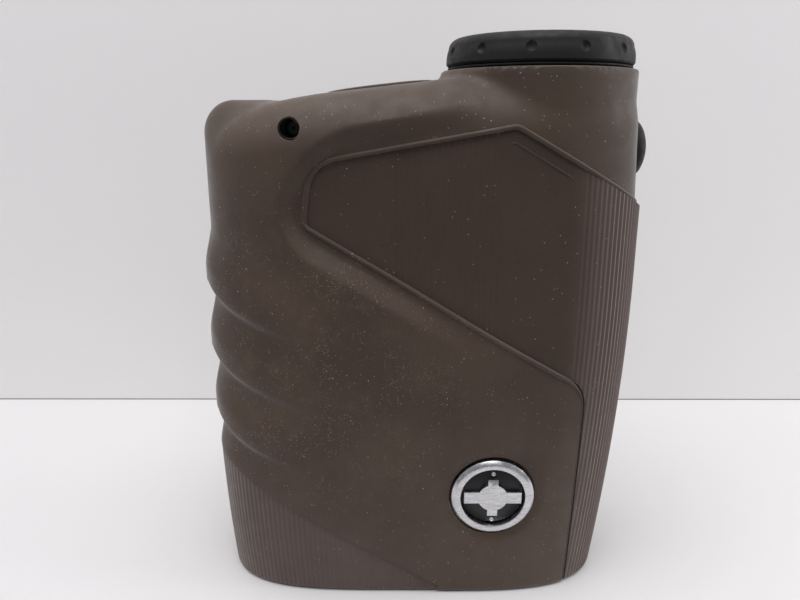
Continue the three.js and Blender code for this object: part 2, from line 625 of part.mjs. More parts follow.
place('fire_button', solid(alongX(turned([
  [0, 29.8], [5.4, 29.8], [5.4, 30.2], [BUTTON.radius, 30.2], [BUTTON.radius, 35.2], [3.9, 36.4], [2.2, 37.1], [0, BUTTON_TIP],
], 20))), LOOK.blackRubber, { at: [0, 0, BUTTON.z] });
place('mode_button', solid(alongY(turned([
  [0, 12.3], [3.9, 12.3], [3.9, 12.7], [MODE.radius, 12.7], [MODE.radius, 16.7], [2.4, 17.2], [0, 17.4],
], 18))), LOOK.blackRubber, { at: [MODE.x, 0, MODE.z] });

const atTower = { at: [TOWER.x, 0, 0] };
place('rear_collar', solid(tube(12.4, 10.6, 83.2, 92.6, 24)), LOOK.blackPlastic, atTower);
place('ring_seal', solid(tube(15, 12.9, 89.7, 90, 24)), LOOK.blackRubber, atTower);
place('diopter_ring', diopterRing(), LOOK.blackRubber, atTower);
place('ocular_cell', ocularCell(), LOOK.blackPlastic, atTower);
place('field_lens', lens(7.7, 75, 79, 0.9, 0.9), LOOK.glass, atTower);
place('eye_lens', lens(9.1, 85.8, 90.9, 1.2, 1), LOOK.glass, atTower);
place('eyepiece_retainer', solid(tube(9.1, 8.3, 91.2, 92.1)), LOOK.blackPlastic, atTower);

const atBay = { parent: bay };
place('battery_tube', batteryTube(), LOOK.blackPlastic, atBay);
place('battery_spring', batterySpring(), LOOK.steel, atBay);
place('battery', batteryCell(), LOOK.battery, atBay);
place('battery_cap', batteryCap(), LOOK.blackPlastic, atBay);
place('battery_cap_seal', solid(tube(7.95, 7.25, -3.35, -2.75)), LOOK.blackRubber, atBay);
place('battery_cap_contact', solid(rod(4, -5.3, -4.85, 16)), LOOK.brass, atBay);
place('battery_cap_tab', batteryCapTab(), LOOK.blackPlastic, atBay);

const onMedallion = { parent: medallion };
place('medallion_ring', medallionRing(), LOOK.silver, onMedallion);
place('medallion_disc', medallionDisc(), LOOK.blackPlastic, onMedallion);
place('medallion_emblem', medallionEmblem(), LOOK.silver, onMedallion);

export default rangefinder;
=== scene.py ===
"""A pocket laser rangefinder standing on its lens end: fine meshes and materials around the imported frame.

Lengths in the shape code are millimetres and are turned into metres when a mesh is made.
"""

import json
import math

import bmesh
import bpy
import numpy as np
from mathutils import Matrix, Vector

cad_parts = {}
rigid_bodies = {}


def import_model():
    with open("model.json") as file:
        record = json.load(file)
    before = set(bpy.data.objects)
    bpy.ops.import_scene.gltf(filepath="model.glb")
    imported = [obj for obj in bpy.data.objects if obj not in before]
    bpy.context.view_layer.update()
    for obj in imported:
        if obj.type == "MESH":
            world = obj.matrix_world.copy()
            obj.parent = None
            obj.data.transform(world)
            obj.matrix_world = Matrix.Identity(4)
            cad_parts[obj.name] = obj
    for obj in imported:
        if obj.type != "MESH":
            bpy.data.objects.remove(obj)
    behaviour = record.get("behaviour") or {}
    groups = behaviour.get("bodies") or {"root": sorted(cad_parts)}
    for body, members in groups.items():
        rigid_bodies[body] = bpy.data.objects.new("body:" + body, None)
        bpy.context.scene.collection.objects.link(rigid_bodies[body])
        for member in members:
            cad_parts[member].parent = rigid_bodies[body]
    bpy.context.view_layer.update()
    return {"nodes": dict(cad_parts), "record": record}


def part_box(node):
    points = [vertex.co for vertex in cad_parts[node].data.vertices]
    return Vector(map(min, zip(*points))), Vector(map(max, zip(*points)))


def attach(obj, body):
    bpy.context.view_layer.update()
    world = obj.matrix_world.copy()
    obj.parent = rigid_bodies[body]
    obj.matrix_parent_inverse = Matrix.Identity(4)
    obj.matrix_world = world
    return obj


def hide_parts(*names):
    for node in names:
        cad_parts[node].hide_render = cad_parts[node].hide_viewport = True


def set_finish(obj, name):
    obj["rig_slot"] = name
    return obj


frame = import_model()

import openvdb
from mathutils import Matrix, Vector

MM = 0.001
NODES = frame["nodes"]


def low_high(node):
    """Lowest and highest corners of a CAD node, in millimetres."""
    low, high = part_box(node)
    return np.array(low) / MM, np.array(high) / MM


def centre(node):
    low, high = low_high(node)
    return (low + high) / 2


# --- Driving dimensions, read from the frame where a node gives them ---
TOWER_X = centre("diopter_ring")[0]
TOWER_TOP = low_high("armour_right")[1][2]
TOWER_RADIUS = 15.9
BUTTON_Z = centre("fire_button")[2]
BUTTON_RADIUS = 4.9
MODE_X, _, MODE_Z = centre("mode_button")
MODE_RADIUS = 3.4
STRAP_X, _, STRAP_Z = centre("strap_pin")
STRAP_RADIUS = 1.3
MEDALLION = Vector((centre("medallion_ring")[0], -16.72, 19.9))
MEDALLION_RADIUS = 7.0
MEDALLION_TILT = 0.05
BATTERY_X = -7.4
VIEW_X = centre("objective_cell")[0]
RECEIVER_X = centre("receiver_cell")[0]

FINGER_CREST = -37.65
TOP_CREST = 36.35
HALF_THICKNESS = 17.18
FRONT_HALF_THICKNESS = 15.4
ACROSS_POWER = 4
THROUGH_POWER = 2.6
REAR_HEIGHT = 87.6
REAR_SLOPE = 0.112
REAR_TOP = 88.0
REAR_ROUND = 6.4
LUG = {"top": 84.9, "half": 8.5, "start": -19.0}
RIBS_END = 68
SKIN = 2.1
SHELL_INSET = 2.2
PLATE_BACK = 2.9
CAVITY_INSET = 3.3
GAP = 0.3
SEAM = 0.15
EDGE_ROUND = 1.1
RIGHT, LEFT = -1, 1

RIDGE = {"depth": 1.3, "pitch": 11.6, "foot": 54.0, "slope": 0.35, "curl": 2.0, "reach": 22.0}
MOAT = {"depth": 1.7, "flat": 1.5, "reach": 4.6}
DISH = {"depth": 0.45, "flat": 7.3, "reach": 9.1}
PANEL_RECESS = 0.32
CORNER_RECESS = 0.22
RIB_PITCH = 0.9


# --- The outer form, as a field that is negative inside ---
def smooth(x, low, high):
    t = np.clip((x - low) / (high - low), 0, 1)
    return t * t * (3 - 2 * t)


def round_max(a, b, radius):
    """Larger of two distances, with the corner between them rounded to a radius."""
    corner = np.hypot(np.maximum(a + radius, 0), np.maximum(b + radius, 0))
    return np.minimum(np.maximum(a, b), -radius) + corner


def round_min(a, b, radius):
    """Smaller of two distances, with the inner corner filled by a fillet."""
    return -round_max(-a, -b, radius)


def finger_edge(z):
    return FINGER_CREST + 1.65 * (np.maximum(0, 45 - z) / 45) ** 2.7


def ribbed_edge(z):
    return TOP_CREST - 3.7 * (np.maximum(0, 55 - z) / 55) ** 1.8


def top_edge(z):
    ribbed = ribbed_edge(z)
    above = TOP_CREST - 0.9 - 0.042 * (z - RIBS_END)
    blend = smooth(z, RIBS_END - 0.8, RIBS_END)
    return ribbed * (1 - blend) + above * blend


def half_thickness(z):
    lower = HALF_THICKNESS - (HALF_THICKNESS - FRONT_HALF_THICKNESS) * ((45 - z) / 45) ** 2
    upper = HALF_THICKNESS - 0.6 * ((z - 45) / 40) ** 2
    return np.where(z < 45, lower, upper)


def rear_height(x):
    return REAR_HEIGHT + REAR_SLOPE * x


def wall(x, y, z, top):
    """Distance to the side wall, whose section is a rounded oblong."""
    finger = finger_edge(z)
    half_width = (top - finger) / 2
    thick = half_thickness(z)
    across = np.abs(x - (top + finger) / 2) / half_width
    through = np.abs(y) / thick
    total = np.maximum(across**ACROSS_POWER + through**THROUGH_POWER, 1e-6)
    slope = (total ** (1 / THROUGH_POWER - 1)) / THROUGH_POWER
    across_slope = ACROSS_POWER * across ** (ACROSS_POWER - 1) / half_width
    through_slope = THROUGH_POWER * through ** (THROUGH_POWER - 1) / thick
    steep = slope * np.hypot(across_slope, through_slope)
    return (total ** (1 / THROUGH_POWER) - 1) / np.maximum(steep, 0.012)


def section(phi):
    """The rounded oblong's unit points at section angles, along X and through Y."""
    across = np.sign(np.cos(phi)) * np.abs(np.cos(phi)) ** (2 / ACROSS_POWER)
    through = np.sign(np.sin(phi)) * np.abs(np.sin(phi)) ** (2 / THROUGH_POWER)
    return across, through


def body(x, y, z, inset=0.0, ribbed_top=False):
    """The whole outer form, moved in by an inset, before any relief."""
    top = ribbed_edge(z) if ribbed_top else top_edge(z)
    side = wall(x, y, z, top) + inset
    sideways = np.minimum(1, np.abs(y) / (0.8 * HALF_THICKNESS))
    lifted = RIDGE["depth"] * (1 - smooth(x - finger_edge(z), 2, RIDGE["reach"]))
    lug = 1 - smooth(np.abs(y), LUG["half"] - 3.5, LUG["half"] + 1.5)
    lug = lug * (1 - smooth(x, LUG["start"] - 7, LUG["start"]))
    raised = rear_height(x) + lug * np.maximum(0, LUG["top"] + lifted - rear_height(x))
    rear = (z - raised + inset) / math.hypot(1, REAR_SLOPE)
    rear = np.maximum(rear, z - REAR_TOP + inset)
    tower = np.maximum(np.hypot(x - TOWER_X, y) - TOWER_RADIUS + inset, 62 - z)
    edge_round = REAR_ROUND + 1.6 * sideways - 0.4 * lug
    shell = round_max(side, round_min(rear, tower, 1.8), edge_round)
    whole = round_max(round_min(shell, tower, 0.6), z - TOWER_TOP, 0.45)
    return round_max(whole, -z, EDGE_ROUND)


def ridges(x, z):
    """Depth of the finger valleys, which curl down from the edge and fade away inwards."""
    along = x - finger_edge(z)
    inward = np.clip(along - 1.5, 0, RIDGE["reach"])
    height = z + RIDGE["slope"] * inward + RIDGE["curl"] * (1 - np.exp(-inward / 3))
    rise = np.mod((height - RIDGE["foot"]) / RIDGE["pitch"], 1)
    wave = 1 - smooth(rise, 0, 0.15) * (1 - smooth(rise, 0.33, 0.98))
    wave = np.where(height > RIDGE["foot"] + RIDGE["pitch"], 1, wave)
    nearness = 1 - smooth(along, 2, RIDGE["reach"])
    return RIDGE["depth"] * wave * nearness * smooth(z, 14, 34)


def line_distance(x, z, a, b):
    """Signed distance to the line from a to b, positive on its left."""
    dx, dz = b[0] - a[0], b[1] - a[1]
    return (dx * (z - a[1]) - dz * (x - a[0])) / math.hypot(dx, dz)


# Corners of the textured panel in the side view (x, z).
TIP = (-18.6, 66.0)
RISE = (-17.4, 75.1)
PEAK = (13.3, 80.6)
TOP_END = (42.0, 64.2)
ELBOW = (26.7, 39.5)
STRIP = (25.9, -2.0)


def moat(x, z):
    """The armour falls away towards the panel along its left, upper and lower borders."""
    upper = line_distance(x, z, RISE, PEAK)
    left = line_distance(x, z, TIP, RISE)
    lower = line_distance(x, z, ELBOW, TIP)
    away = round_max(round_max(upper, left, 6.0), lower, 1.5)
    fall = np.clip((away - MOAT["flat"]) / (MOAT["reach"] - MOAT["flat"]), 0, 1)
    ramp = 1 - 0.8 * fall - 0.2 * fall * fall * (3 - 2 * fall)
    return MOAT["depth"] * ramp * (1 - smooth(x, -8, 13))


def dish(x, z):
    radius = np.hypot(x - MEDALLION[0], z - MEDALLION[2])
    return DISH["depth"] * (1 - smooth(radius, DISH["flat"], DISH["reach"]))


def relief(x, y, z):
    depth = ridges(x, z) + moat(x, z)
    return depth + np.where(y < 0, dish(x, z), 0)


def armour_field(p):
    x, y, z = p
    return body(x, y, z) + relief(x, y, z)


def settle(points, field, target=0.0, rounds=4, step=0.02):
    """Moves points along the field's slope until the field has the target value there."""
    p = np.array(points, float).T
    for _ in range(rounds):
        value = field(p) - target
        slope = np.stack([(field(p + step * axis) - field(p - step * axis)) / (2 * step)
                          for axis in np.eye(3)[:, :, None]])
        size = np.maximum((slope**2).sum(0), 0.09)
        p = p - np.clip(value / size, -0.5, 0.5) * slope
    return p.T


def normals_of(points, field, step=0.05):
    p = np.array(points, float).T
    slope = np.stack([(field(p + step * axis) - field(p - step * axis)) for axis in np.eye(3)[:, :, None]])
    return (slope / np.linalg.norm(slope, axis=0)).T


# --- Meshes ---
def new_object(name, points, faces, shade=True):
    mesh = bpy.data.meshes.new(name)
    mesh.from_pydata((np.asarray(points, float) * MM).tolist(), [], faces)
    mesh.update()
    obj = bpy.data.objects.new(name, mesh)
    bpy.context.scene.collection.objects.link(obj)
    if shade:
        smooth_shade(obj)
    return obj


def smooth_shade(obj, angle=38):
    obj.data.polygons.foreach_set("use_smooth", [True] * len(obj.data.polygons))
    obj.data.set_sharp_from_angle(angle=math.radians(angle))


def field_mesh(name, field, low, high, voxel):
    """The closed surface where a field is zero, as quads set exactly on it."""
    counts = [int(math.ceil((h - l) / voxel)) + 1 for l, h in zip(low, high)]
    axes = [l + voxel * np.arange(n) for l, n in zip(low, counts)]
    grid_points = np.stack(np.meshgrid(*axes, indexing="ij"))
    values = np.clip(field(grid_points.reshape(3, -1)), -3 * voxel, 3 * voxel).reshape(counts)
    grid = openvdb.FloatGrid(3 * voxel)
    grid.copyFromArray(values.astype(np.float32))
    points, quads = grid.convertToQuads(0.0)
    points = settle(points * voxel + np.array(low), field)
    return new_object(name, points, quads[:, ::-1].tolist())


def loop_faces(rings, count):
    """Quads between rings of equal length, with flat ends."""
    faces = []
    for r in range(rings - 1):
        for k in range(count):
            a = r * count + k
            b = r * count + (k + 1) % count
            faces.append((a, b, b + count, a + count))
    faces.append(tuple(range(count))[::-1])
    faces.append(tuple(range((rings - 1) * count, rings * count)))
    return faces


def prism(name, outline, y0, y1):
    """A plate through the thickness whose outline is drawn in the side view (x, z)."""
    count = len(outline)
    points = [(x, y, z) for y in (y1, y0) for x, z in outline]
    obj = new_object(name, points, loop_faces(2, count), shade=False)
    outward(obj)
    return obj


def outward(obj):
    mesh = bmesh.new()
    mesh.from_mesh(obj.data)
    bmesh.ops.recalc_face_normals(mesh, faces=mesh.faces)
    mesh.to_mesh(obj.data)
    mesh.free()


def box(name, low, high):
    outline = [(low[0], low[2]), (high[0], low[2]), (high[0], high[2]), (low[0], high[2])]
    return prism(name, outline, low[1], high[1])


def placed_box(name, low, high, place):
    """A box that is moved by a placement whose lengths are millimetres."""
    obj = box(name, low, high)
    for step in (Matrix.Scale(1 / MM, 4), place, Matrix.Scale(MM, 4)):
        obj.data.transform(step)
    return obj


def lathe(name, profile, sides=96, place=Matrix.Identity(4)):
    """A turned solid about +Z from a closed profile of (radius, height), or one between axis points."""
    points, rows = [], []
    for radius, height in profile:
        if radius == 0:
            rows.append([len(points)])
            points.append((0, 0, height))
            continue
        rows.append(list(range(len(points), len(points) + sides)))
        for k in range(sides):
            angle = 2 * math.pi * k / sides
            points.append((radius * math.cos(angle), radius * math.sin(angle), height))
    faces = []
    closed = profile[0][0] > 0
    for i in range(len(rows) if closed else len(rows) - 1):
        low, high = rows[i], rows[(i + 1) % len(rows)]
        for k in range(sides):
            j = (k + 1) % sides
            if len(low) == 1:
                faces.append((low[0], high[j], high[k]))
            elif len(high) == 1:
                faces.append((low[k], low[j], high[0]))
            else:
                faces.append((low[k], low[j], high[j], high[k]))
    moved = [place @ Vector(p) for p in points]
    obj = new_object(name, moved, faces, shade=False)
    outward(obj)
    smooth_shade(obj)
    return obj


def rounded(profile, radius, steps=4):
    """A closed profile with each corner rounded, or less where its sides are short."""
    result = []
    count = len(profile)
    for i, corner in enumerate(profile):
        corner = Vector(corner)
        before = Vector(profile[i - 1]) - corner
        after = Vector(profile[(i + 1) % count]) - corner
        reach = min(radius, 0.45 * before.length, 0.45 * after.length)
        start = corner + before.normalized() * reach
        end = corner + after.normalized() * reach
        for k in range(steps + 1):
            t = k / steps
            point = start * (1 - t) ** 2 + corner * 2 * t * (1 - t) + end * t**2
            result.append((point.x, point.y))
    return result


def combine(obj, other, operation, keep=False):
    """Applies a boolean of other to obj, and removes other unless it is kept."""
    modifier = obj.modifiers.new("cut", "BOOLEAN")
    modifier.operation = operation
    modifier.solver = "MANIFOLD"
    modifier.object = other
    graph = bpy.context.evaluated_depsgraph_get()
    mesh = bpy.data.meshes.new_from_object(obj.evaluated_get(graph))
    obj.modifiers.clear()
    obj.data = mesh
    mesh.name = obj.name
    if not keep:
        bpy.data.objects.remove(other)
    return obj


def cut(obj, *others, keep=False):
    for other in others:
        combine(obj, other, "DIFFERENCE", keep)
    return obj


def copy_of(obj, name):
    twin = obj.copy()
    twin.data = obj.data.copy()
    twin.name = name
    for key in list(twin.keys()):
        del twin[key]
    twin.parent = None
    bpy.context.scene.collection.objects.link(twin)
    return twin


def mirrored(obj, name):
    twin = copy_of(obj, name)
    twin.data.transform(Matrix.Scale(-1, 4, (0, 1, 0)))
    twin.data.flip_normals()
    return twin


def along_x(x, z):
    """Turns a lathe's +Z to +X, at a point of the mid-plane."""
    return Matrix.Translation((x, 0, z)) @ Matrix.Rotation(math.pi / 2, 4, "Y")


def along_y(x, z, side=LEFT):
    turn = -math.pi / 2 if side == LEFT else math.pi / 2
    return Matrix.Translation((x, 0, z)) @ Matrix.Rotation(turn, 4, "X")


def at(x, y=0.0, z=0.0):
    return Matrix.Translation((x, y, z))


BAY = at(BATTERY_X, 0, 87.65 + REAR_SLOPE * BATTERY_X) @ Matrix.Rotation(-math.atan(REAR_SLOPE), 4, "Y")
ON_MEDALLION = at(*MEDALLION) @ Matrix.Rotation(math.pi / 2 + MEDALLION_TILT, 4, "X")


def rod(name, radius, low, high, place, sides=64):
    return lathe(name, [(0, low), (radius, low), (radius, high), (0, high)], sides, place)


# --- Outlines in the side view ---
def corner_arc(a, b, c, radius, steps=8):
    corner = Vector(b)
    before = (Vector(a) - corner).normalized()
    after = (Vector(c) - corner).normalized()
    half = math.acos(max(-1, min(1, before.dot(after)))) / 2
    reach = radius / math.tan(half)
    start, end = corner + before * reach, corner + after * reach
    points = []
    for k in range(steps + 1):
        t = k / steps
        point = start * (1 - t) ** 2 + corner * 2 * t * (1 - t) + end * t**2
        points.append((point.x, point.y))
    return points


def panel_border(grow=0.0):
    """The raised border's line, from the top edge round to the front end."""
    tip = (TIP[0] - grow, TIP[1])
    rise = (RISE[0] - grow, RISE[1] + grow)
    peak = (PEAK[0], PEAK[1] + grow)
    end = (TOP_END[0], TOP_END[1] + grow)
    strip = (STRIP[0] - grow, STRIP[1])
    elbow = (ELBOW[0] - grow, ELBOW[1] - grow)
    return [
        end,
        *corner_arc(end, peak, rise, 1.8),
        *corner_arc(peak, rise, tip, 6.2),
        *corner_arc(rise, tip, elbow, 1.2),
        *corner_arc(tip, elbow, strip, 6.8),
        strip,
    ]


def panel_outline(grow=0.0, strip_grow=None):
    """The panel as a closed outline. Its lower strip's border can be moved by a different amount."""
    border = panel_border(grow)
    if strip_grow is not None:
        shift = [(grow - strip_grow) * (1 - smooth(z, 38, 44)) * (x > 20) for x, z in border]
        border = [(x + move, z) for (x, z), move in zip(border, shift)]
    return [*border, (TOP_END[0], STRIP[1])]


def corner_outline(grow=0.0):
    return [(-42, 28.5 + grow), (2.6 + grow, 1.6), (2.6 + grow, -2), (-42, -2)]


# --- Ribbed shell surface and raised border ---
def section_angles():
    """Section angles evenly spaced round the outline, six to a rib."""
    phi = np.linspace(0, 2 * np.pi, 8001)
    across, through = section(phi)
    steps = np.hypot(36.5 * np.diff(across), 17 * np.diff(through))
    length = np.concatenate([[0], np.cumsum(steps)])
    ribs = 4 * round(length[-1] / RIB_PITCH / 4)
    columns = 6 * ribs
    targets = length[-1] * np.arange(columns) / columns
    return np.interp(targets, length, phi), np.arange(columns) / 6


def rib_depth(x):
    """Strong ribs along the top edge, a smooth plaque, then faint pinstripes."""
    faint = 0.09 * (1 - smooth(x, 10.4, 11.4))
    strong = 0.07 * smooth(x, 23.4, 24.6) + 0.12 * smooth(x, 25, 31)
    return faint + strong


def panel_depth(x):
    """Share of the panel's recess: the ribs come level with the armour towards the top edge."""
    return 1 - 0.65 * smooth(x, 20, 25) - 0.35 * smooth(x, 27, 33)


def ribbed_solid(name, recess):
    """The form with its ribs, moved in by a recess. Its ceiling drops towards the finger side."""
    phi, rib = section_angles()
    across, through = section(phi)
    fractions = np.concatenate([[0, 0.0035, 0.008, 0.014], np.linspace(0.03, 1, 52)])
    rows = []
    for fraction in fractions:
        z = fraction * 80.0
        finger, top = finger_edge(z), ribbed_edge(z)
        edge = 0.97 if fraction == 0 else 1.0
        x = (finger + top) / 2 + edge * (top - finger) / 2 * across
        y = edge * half_thickness(z) * through
        ceiling = 75 + 6.5 * smooth(x, -30, -8)
        rows.append(np.stack([x, y, fraction * ceiling], 1))
    points = np.concatenate(rows)
    wave = 0.5 - 0.5 * np.cos(2 * np.pi * np.tile(rib, len(rows)))
    depth = recess * panel_depth(points[:, 0]) + wave * rib_depth(points[:, 0])
    moved = settle(points, lambda p: body(*p, inset=depth, ribbed_top=True) + moat(p[0], p[2]))
    obj = new_object(name, moved, loop_faces(len(rows), len(phi)), shade=False)
    outward(obj)
    return obj


def resample(line, spacing):
    line = np.array(line, float)
    steps = np.hypot(*np.diff(line, axis=0).T)
    length = np.concatenate([[0], np.cumsum(steps)])
    targets = np.linspace(0, length[-1], int(length[-1] / spacing) + 1)
    return np.stack([np.interp(targets, length, line[:, i]) for i in (0, 1)], 1)


def reach_surface(start, direction, far, field):
    """The point, along a direction from start, where the field turns positive."""
    low, high = 0.0, far
    for _ in range(36):
        middle = (low + high) / 2
        p = np.array(start, float) + middle * np.array(direction, float)
        if field(p[:, None])[0] < 0:
            low = middle
        else:
            high = middle
    return np.array(start, float) + low * np.array(direction, float)


def border_path(grow, field):
    """The border's line on the surface of the right-hand side, from the mid-plane over the top edge."""
    border = resample(panel_border(grow), 0.5)
    side = border[(border[:, 0] < 29) & (border[:, 1] > 0.9)]
    side_points = [reach_surface((x, 0, z), (0, -1, 0), 19, field) for x, z in side]
    first = side_points[0]
    fall = (TOP_END[1] - PEAK[1]) / (TOP_END[0] - PEAK[0])
    hub = 20.0
    last_angle = math.atan2(first[1], first[0] - hub)
    bend = []
    for angle in np.linspace(-0.012, last_angle, 36)[:-1]:
        direction = (math.cos(angle), math.sin(angle), fall * math.cos(angle))
        start = (hub, 0, first[2] + fall * (hub - first[0]))
        bend.append(reach_surface(start, direction, 24, field))
    return np.array(bend + side_points)


def sweep(name, path, field, profile, size):
    """Sweeps a profile of (sideways, outwards) points along a line on a field's surface, scaled by a size."""
    out = normals_of(path, field)
    tangent = np.gradient(path, axis=0)
    for _ in range(2):
        tangent[1:-1] = (tangent[:-2] + 2 * tangent[1:-1] + tangent[2:]) / 4
    tangent /= np.linalg.norm(tangent, axis=1)[:, None]
    sideways = np.cross(tangent, out)
    sideways /= np.linalg.norm(sideways, axis=1)[:, None]
    rings = []
    for point, side, normal, scale in zip(path, sideways, out, size):
        along_side = [s * scale for s, _ in profile]
        along_normal = [o * scale if o > 0 else o for _, o in profile]
        rings.append(point + np.outer(along_side, side) + np.outer(along_normal, normal))
    obj = new_object(name, np.concatenate(rings), loop_faces(len(rings), len(profile)), shade=False)
    outward(obj)
    smooth_shade(obj)
    return obj


def piece(obj, body_name, slot_name, *nodes):
    """Declares a piece: the body it rides on, its material slot and the nodes that it replaces."""
    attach(obj, body_name)
    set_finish(obj, slot_name)
    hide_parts(*nodes)


def fixed_trim(obj, slot_name):
    """Declares a piece of the fixed body that stands for no node of its own."""
    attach(obj, "root")
    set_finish(obj, slot_name)


def bead_size(path):
    """The raised border dies away below the elbow, where only a groove is left."""
    x, _, z = path.T
    return 1 - 0.8 * smooth(x, 20, 25) * (1 - smooth(z, 35, 43))


def bead_profile(half_width, height, root):
    arc = [(half_width * math.cos(a), height * math.sin(a)) for a in np.linspace(0, math.pi, 11)]
    return [*arc, (-half_width, -root), (half_width, -root)]


# --- Armour and shells ---
FAR_LOW, FAR_HIGH = (-41, -21, -3), (41, 21, 100)


def half_space(side, low=-5, high=110):
    y0, y1 = (-30, -SEAM) if side == RIGHT else (SEAM, 30)
    return box("half", (-60, y0, low), (60, y1, high))


def inner_solid(name, inset, voxel):
    """The form moved in by an inset, open past the front end and the tower's top."""

    def field(p):
        x, y, z = p
        side = wall(x, y, z, top_edge(z)) + inset
        rear = (z - rear_height(x) + inset) / math.hypot(1, REAR_SLOPE)
        rear = np.maximum(rear, z - REAR_TOP + inset)
        tower = np.maximum(np.hypot(x - TOWER_X, y) - TOWER_RADIUS + inset, 62 - z)
        return np.minimum(round_max(side, rear, 6.0), tower)

    return field_mesh(name, field, FAR_LOW, (41, 21, 94), voxel)


def strap_pocket(grow):
    return box("pocket", (STRAP_X - 4 - grow, -4.5 - grow, 76 - grow), (STRAP_X + 3.2 + grow, 4.5 + grow, 99))


def armour(side, outer, back):
    """One half of the rubber armour, open over the panel and the lower corner."""
    node = "armour_right" if side == RIGHT else "armour_left"
    obj = copy_of(outer, f"{node}_cover")
    cut(obj, back, keep=True)
    combine(obj, half_space(side), "INTERSECT")
    cut(obj, prism("panel", panel_outline(0.3), -30, 30), prism("corner", corner_outline(0.1), -30, 30))
    cut(obj, rod("strap", STRAP_RADIUS + 0.45, -30, 30, along_y(STRAP_X, STRAP_Z)), strap_pocket(GAP))
    cut(obj, rod("button", BUTTON_RADIUS + 0.35, 26, 45, along_x(0, BUTTON_Z)))
    cut(obj, rod("bay", 9.25, -8, 8, BAY))
    if side == RIGHT:
        cut(obj, rod("seat", MEDALLION_RADIUS + 0.45, -1.6, 6, ON_MEDALLION, 96))
    else:
        cut(obj, rod("mode", MODE_RADIUS + 0.25, 11.8, 30, along_y(MODE_X, MODE_Z)))
    smooth_shade(obj)
    piece(obj, "root", "armour_rubber", node)


def plates(name, outline, skin, core):
    """A textured plate of the hard shell on each side, which shows through a window of the armour."""
    right = combine(prism(f"{name}_right", outline, -30, 30), skin, "INTERSECT", keep=True)
    cut(right, core, keep=True)
    combine(right, half_space(RIGHT), "INTERSECT")
    for obj in (right, mirrored(right, f"{name}_left")):
        smooth_shade(obj, 30)
        fixed_trim(obj, "shell_plastic")


def housings(shell, cavity, core):
    """Both halves of the hard shell, with a pocket for each textured plate."""
    right = copy_of(shell, "housing_right_shell")
    cut(right, cavity, keep=True)
    combine(right, half_space(RIGHT, 0.3, TOWER_TOP), "INTERSECT")
    for outline in (panel_outline(0.24, -0.06), corner_outline(-0.01)):
        cut(right, cut(prism("pocket", outline, -30, 30), core, keep=True))
    cut(right, rod("strap", STRAP_RADIUS + 0.3, -30, 30, along_y(STRAP_X, STRAP_Z)), strap_pocket(0))
    cut(right, rod("button", BUTTON_RADIUS + 0.3, 26, 45, along_x(0, BUTTON_Z)))
    cut(right, rod("bay", 9.35, -8, 8, BAY))
    left = mirrored(right, "housing_left_shell")
    cut(left, rod("mode", MODE_RADIUS + 0.3, 11.8, 30, along_y(MODE_X, MODE_Z)))
    for obj, node in ((right, "housing_right"), (left, "housing_left")):
        smooth_shade(obj, 30)
        piece(obj, "root", "shell_plastic", node)


def body_pieces():
    """The armour, the shell halves and their textured plates, cut from a few shared solids."""
    fine = 0.5
    outer = field_mesh("outer", armour_field, FAR_LOW, FAR_HIGH, fine)
    back = inner_solid("back", SKIN, 1.6)
    shell = inner_solid("shell", SHELL_INSET, 1.5)
    core = inner_solid("core", PLATE_BACK, 1.6)
    cavity = inner_solid("cavity", CAVITY_INSET, 1.6)
    ribbed = ribbed_solid("ribbed", PANEL_RECESS)
    corner_ribbed = ribbed_solid("corner_ribbed", CORNER_RECESS)
    armour(RIGHT, outer, back)
    armour(LEFT, outer, back)
    housings(shell, cavity, core)
    plates("panel_plate", panel_outline(0.2, -0.1), ribbed, core)
    plates("corner_plate", corner_outline(-0.05), corner_ribbed, core)
    for spare in (outer, back, shell, core, cavity, ribbed, corner_ribbed):
        bpy.data.objects.remove(spare)


def border_beads():
    """The armour's raised border round each panel."""
    path = border_path(0.4, armour_field)
    right = sweep("border_right", path, armour_field, bead_profile(0.36, 0.33, 0.9), bead_size(path))
    left = mirrored(right, "border_left")
    fixed_trim(right, "armour_rubber")
    fixed_trim(left, "armour_rubber")


def plaque_lines():
    """The fine raised upper edge of the smooth plaque in the panel."""
    start, corner, end = (12.0, 77.7), (12.7, 78.8), (24.6, 71.8)
    line = resample([start, *corner_arc(start, corner, end, 0.6), end], 0.4)
    path = np.array([reach_surface((x, 0, z), (0, -1, 0), 19, plaque_field) for x, z in line])
    passed = np.arange(len(path))
    fade = np.clip(np.minimum(passed / 3 + 0.25, (len(path) - passed) / 12 + 0.1), 0, 1)
    right = sweep("plaque_line_right", path, plaque_field, bead_profile(0.16, 0.13, 0.2), fade)
    left = mirrored(right, "plaque_line_left")
    fixed_trim(right, "shell_plastic")
    fixed_trim(left, "shell_plastic")


def plaque_field(p):
    x, y, z = p
    return body(x, y, z, inset=PANEL_RECESS, ribbed_top=True) + moat(x, z)


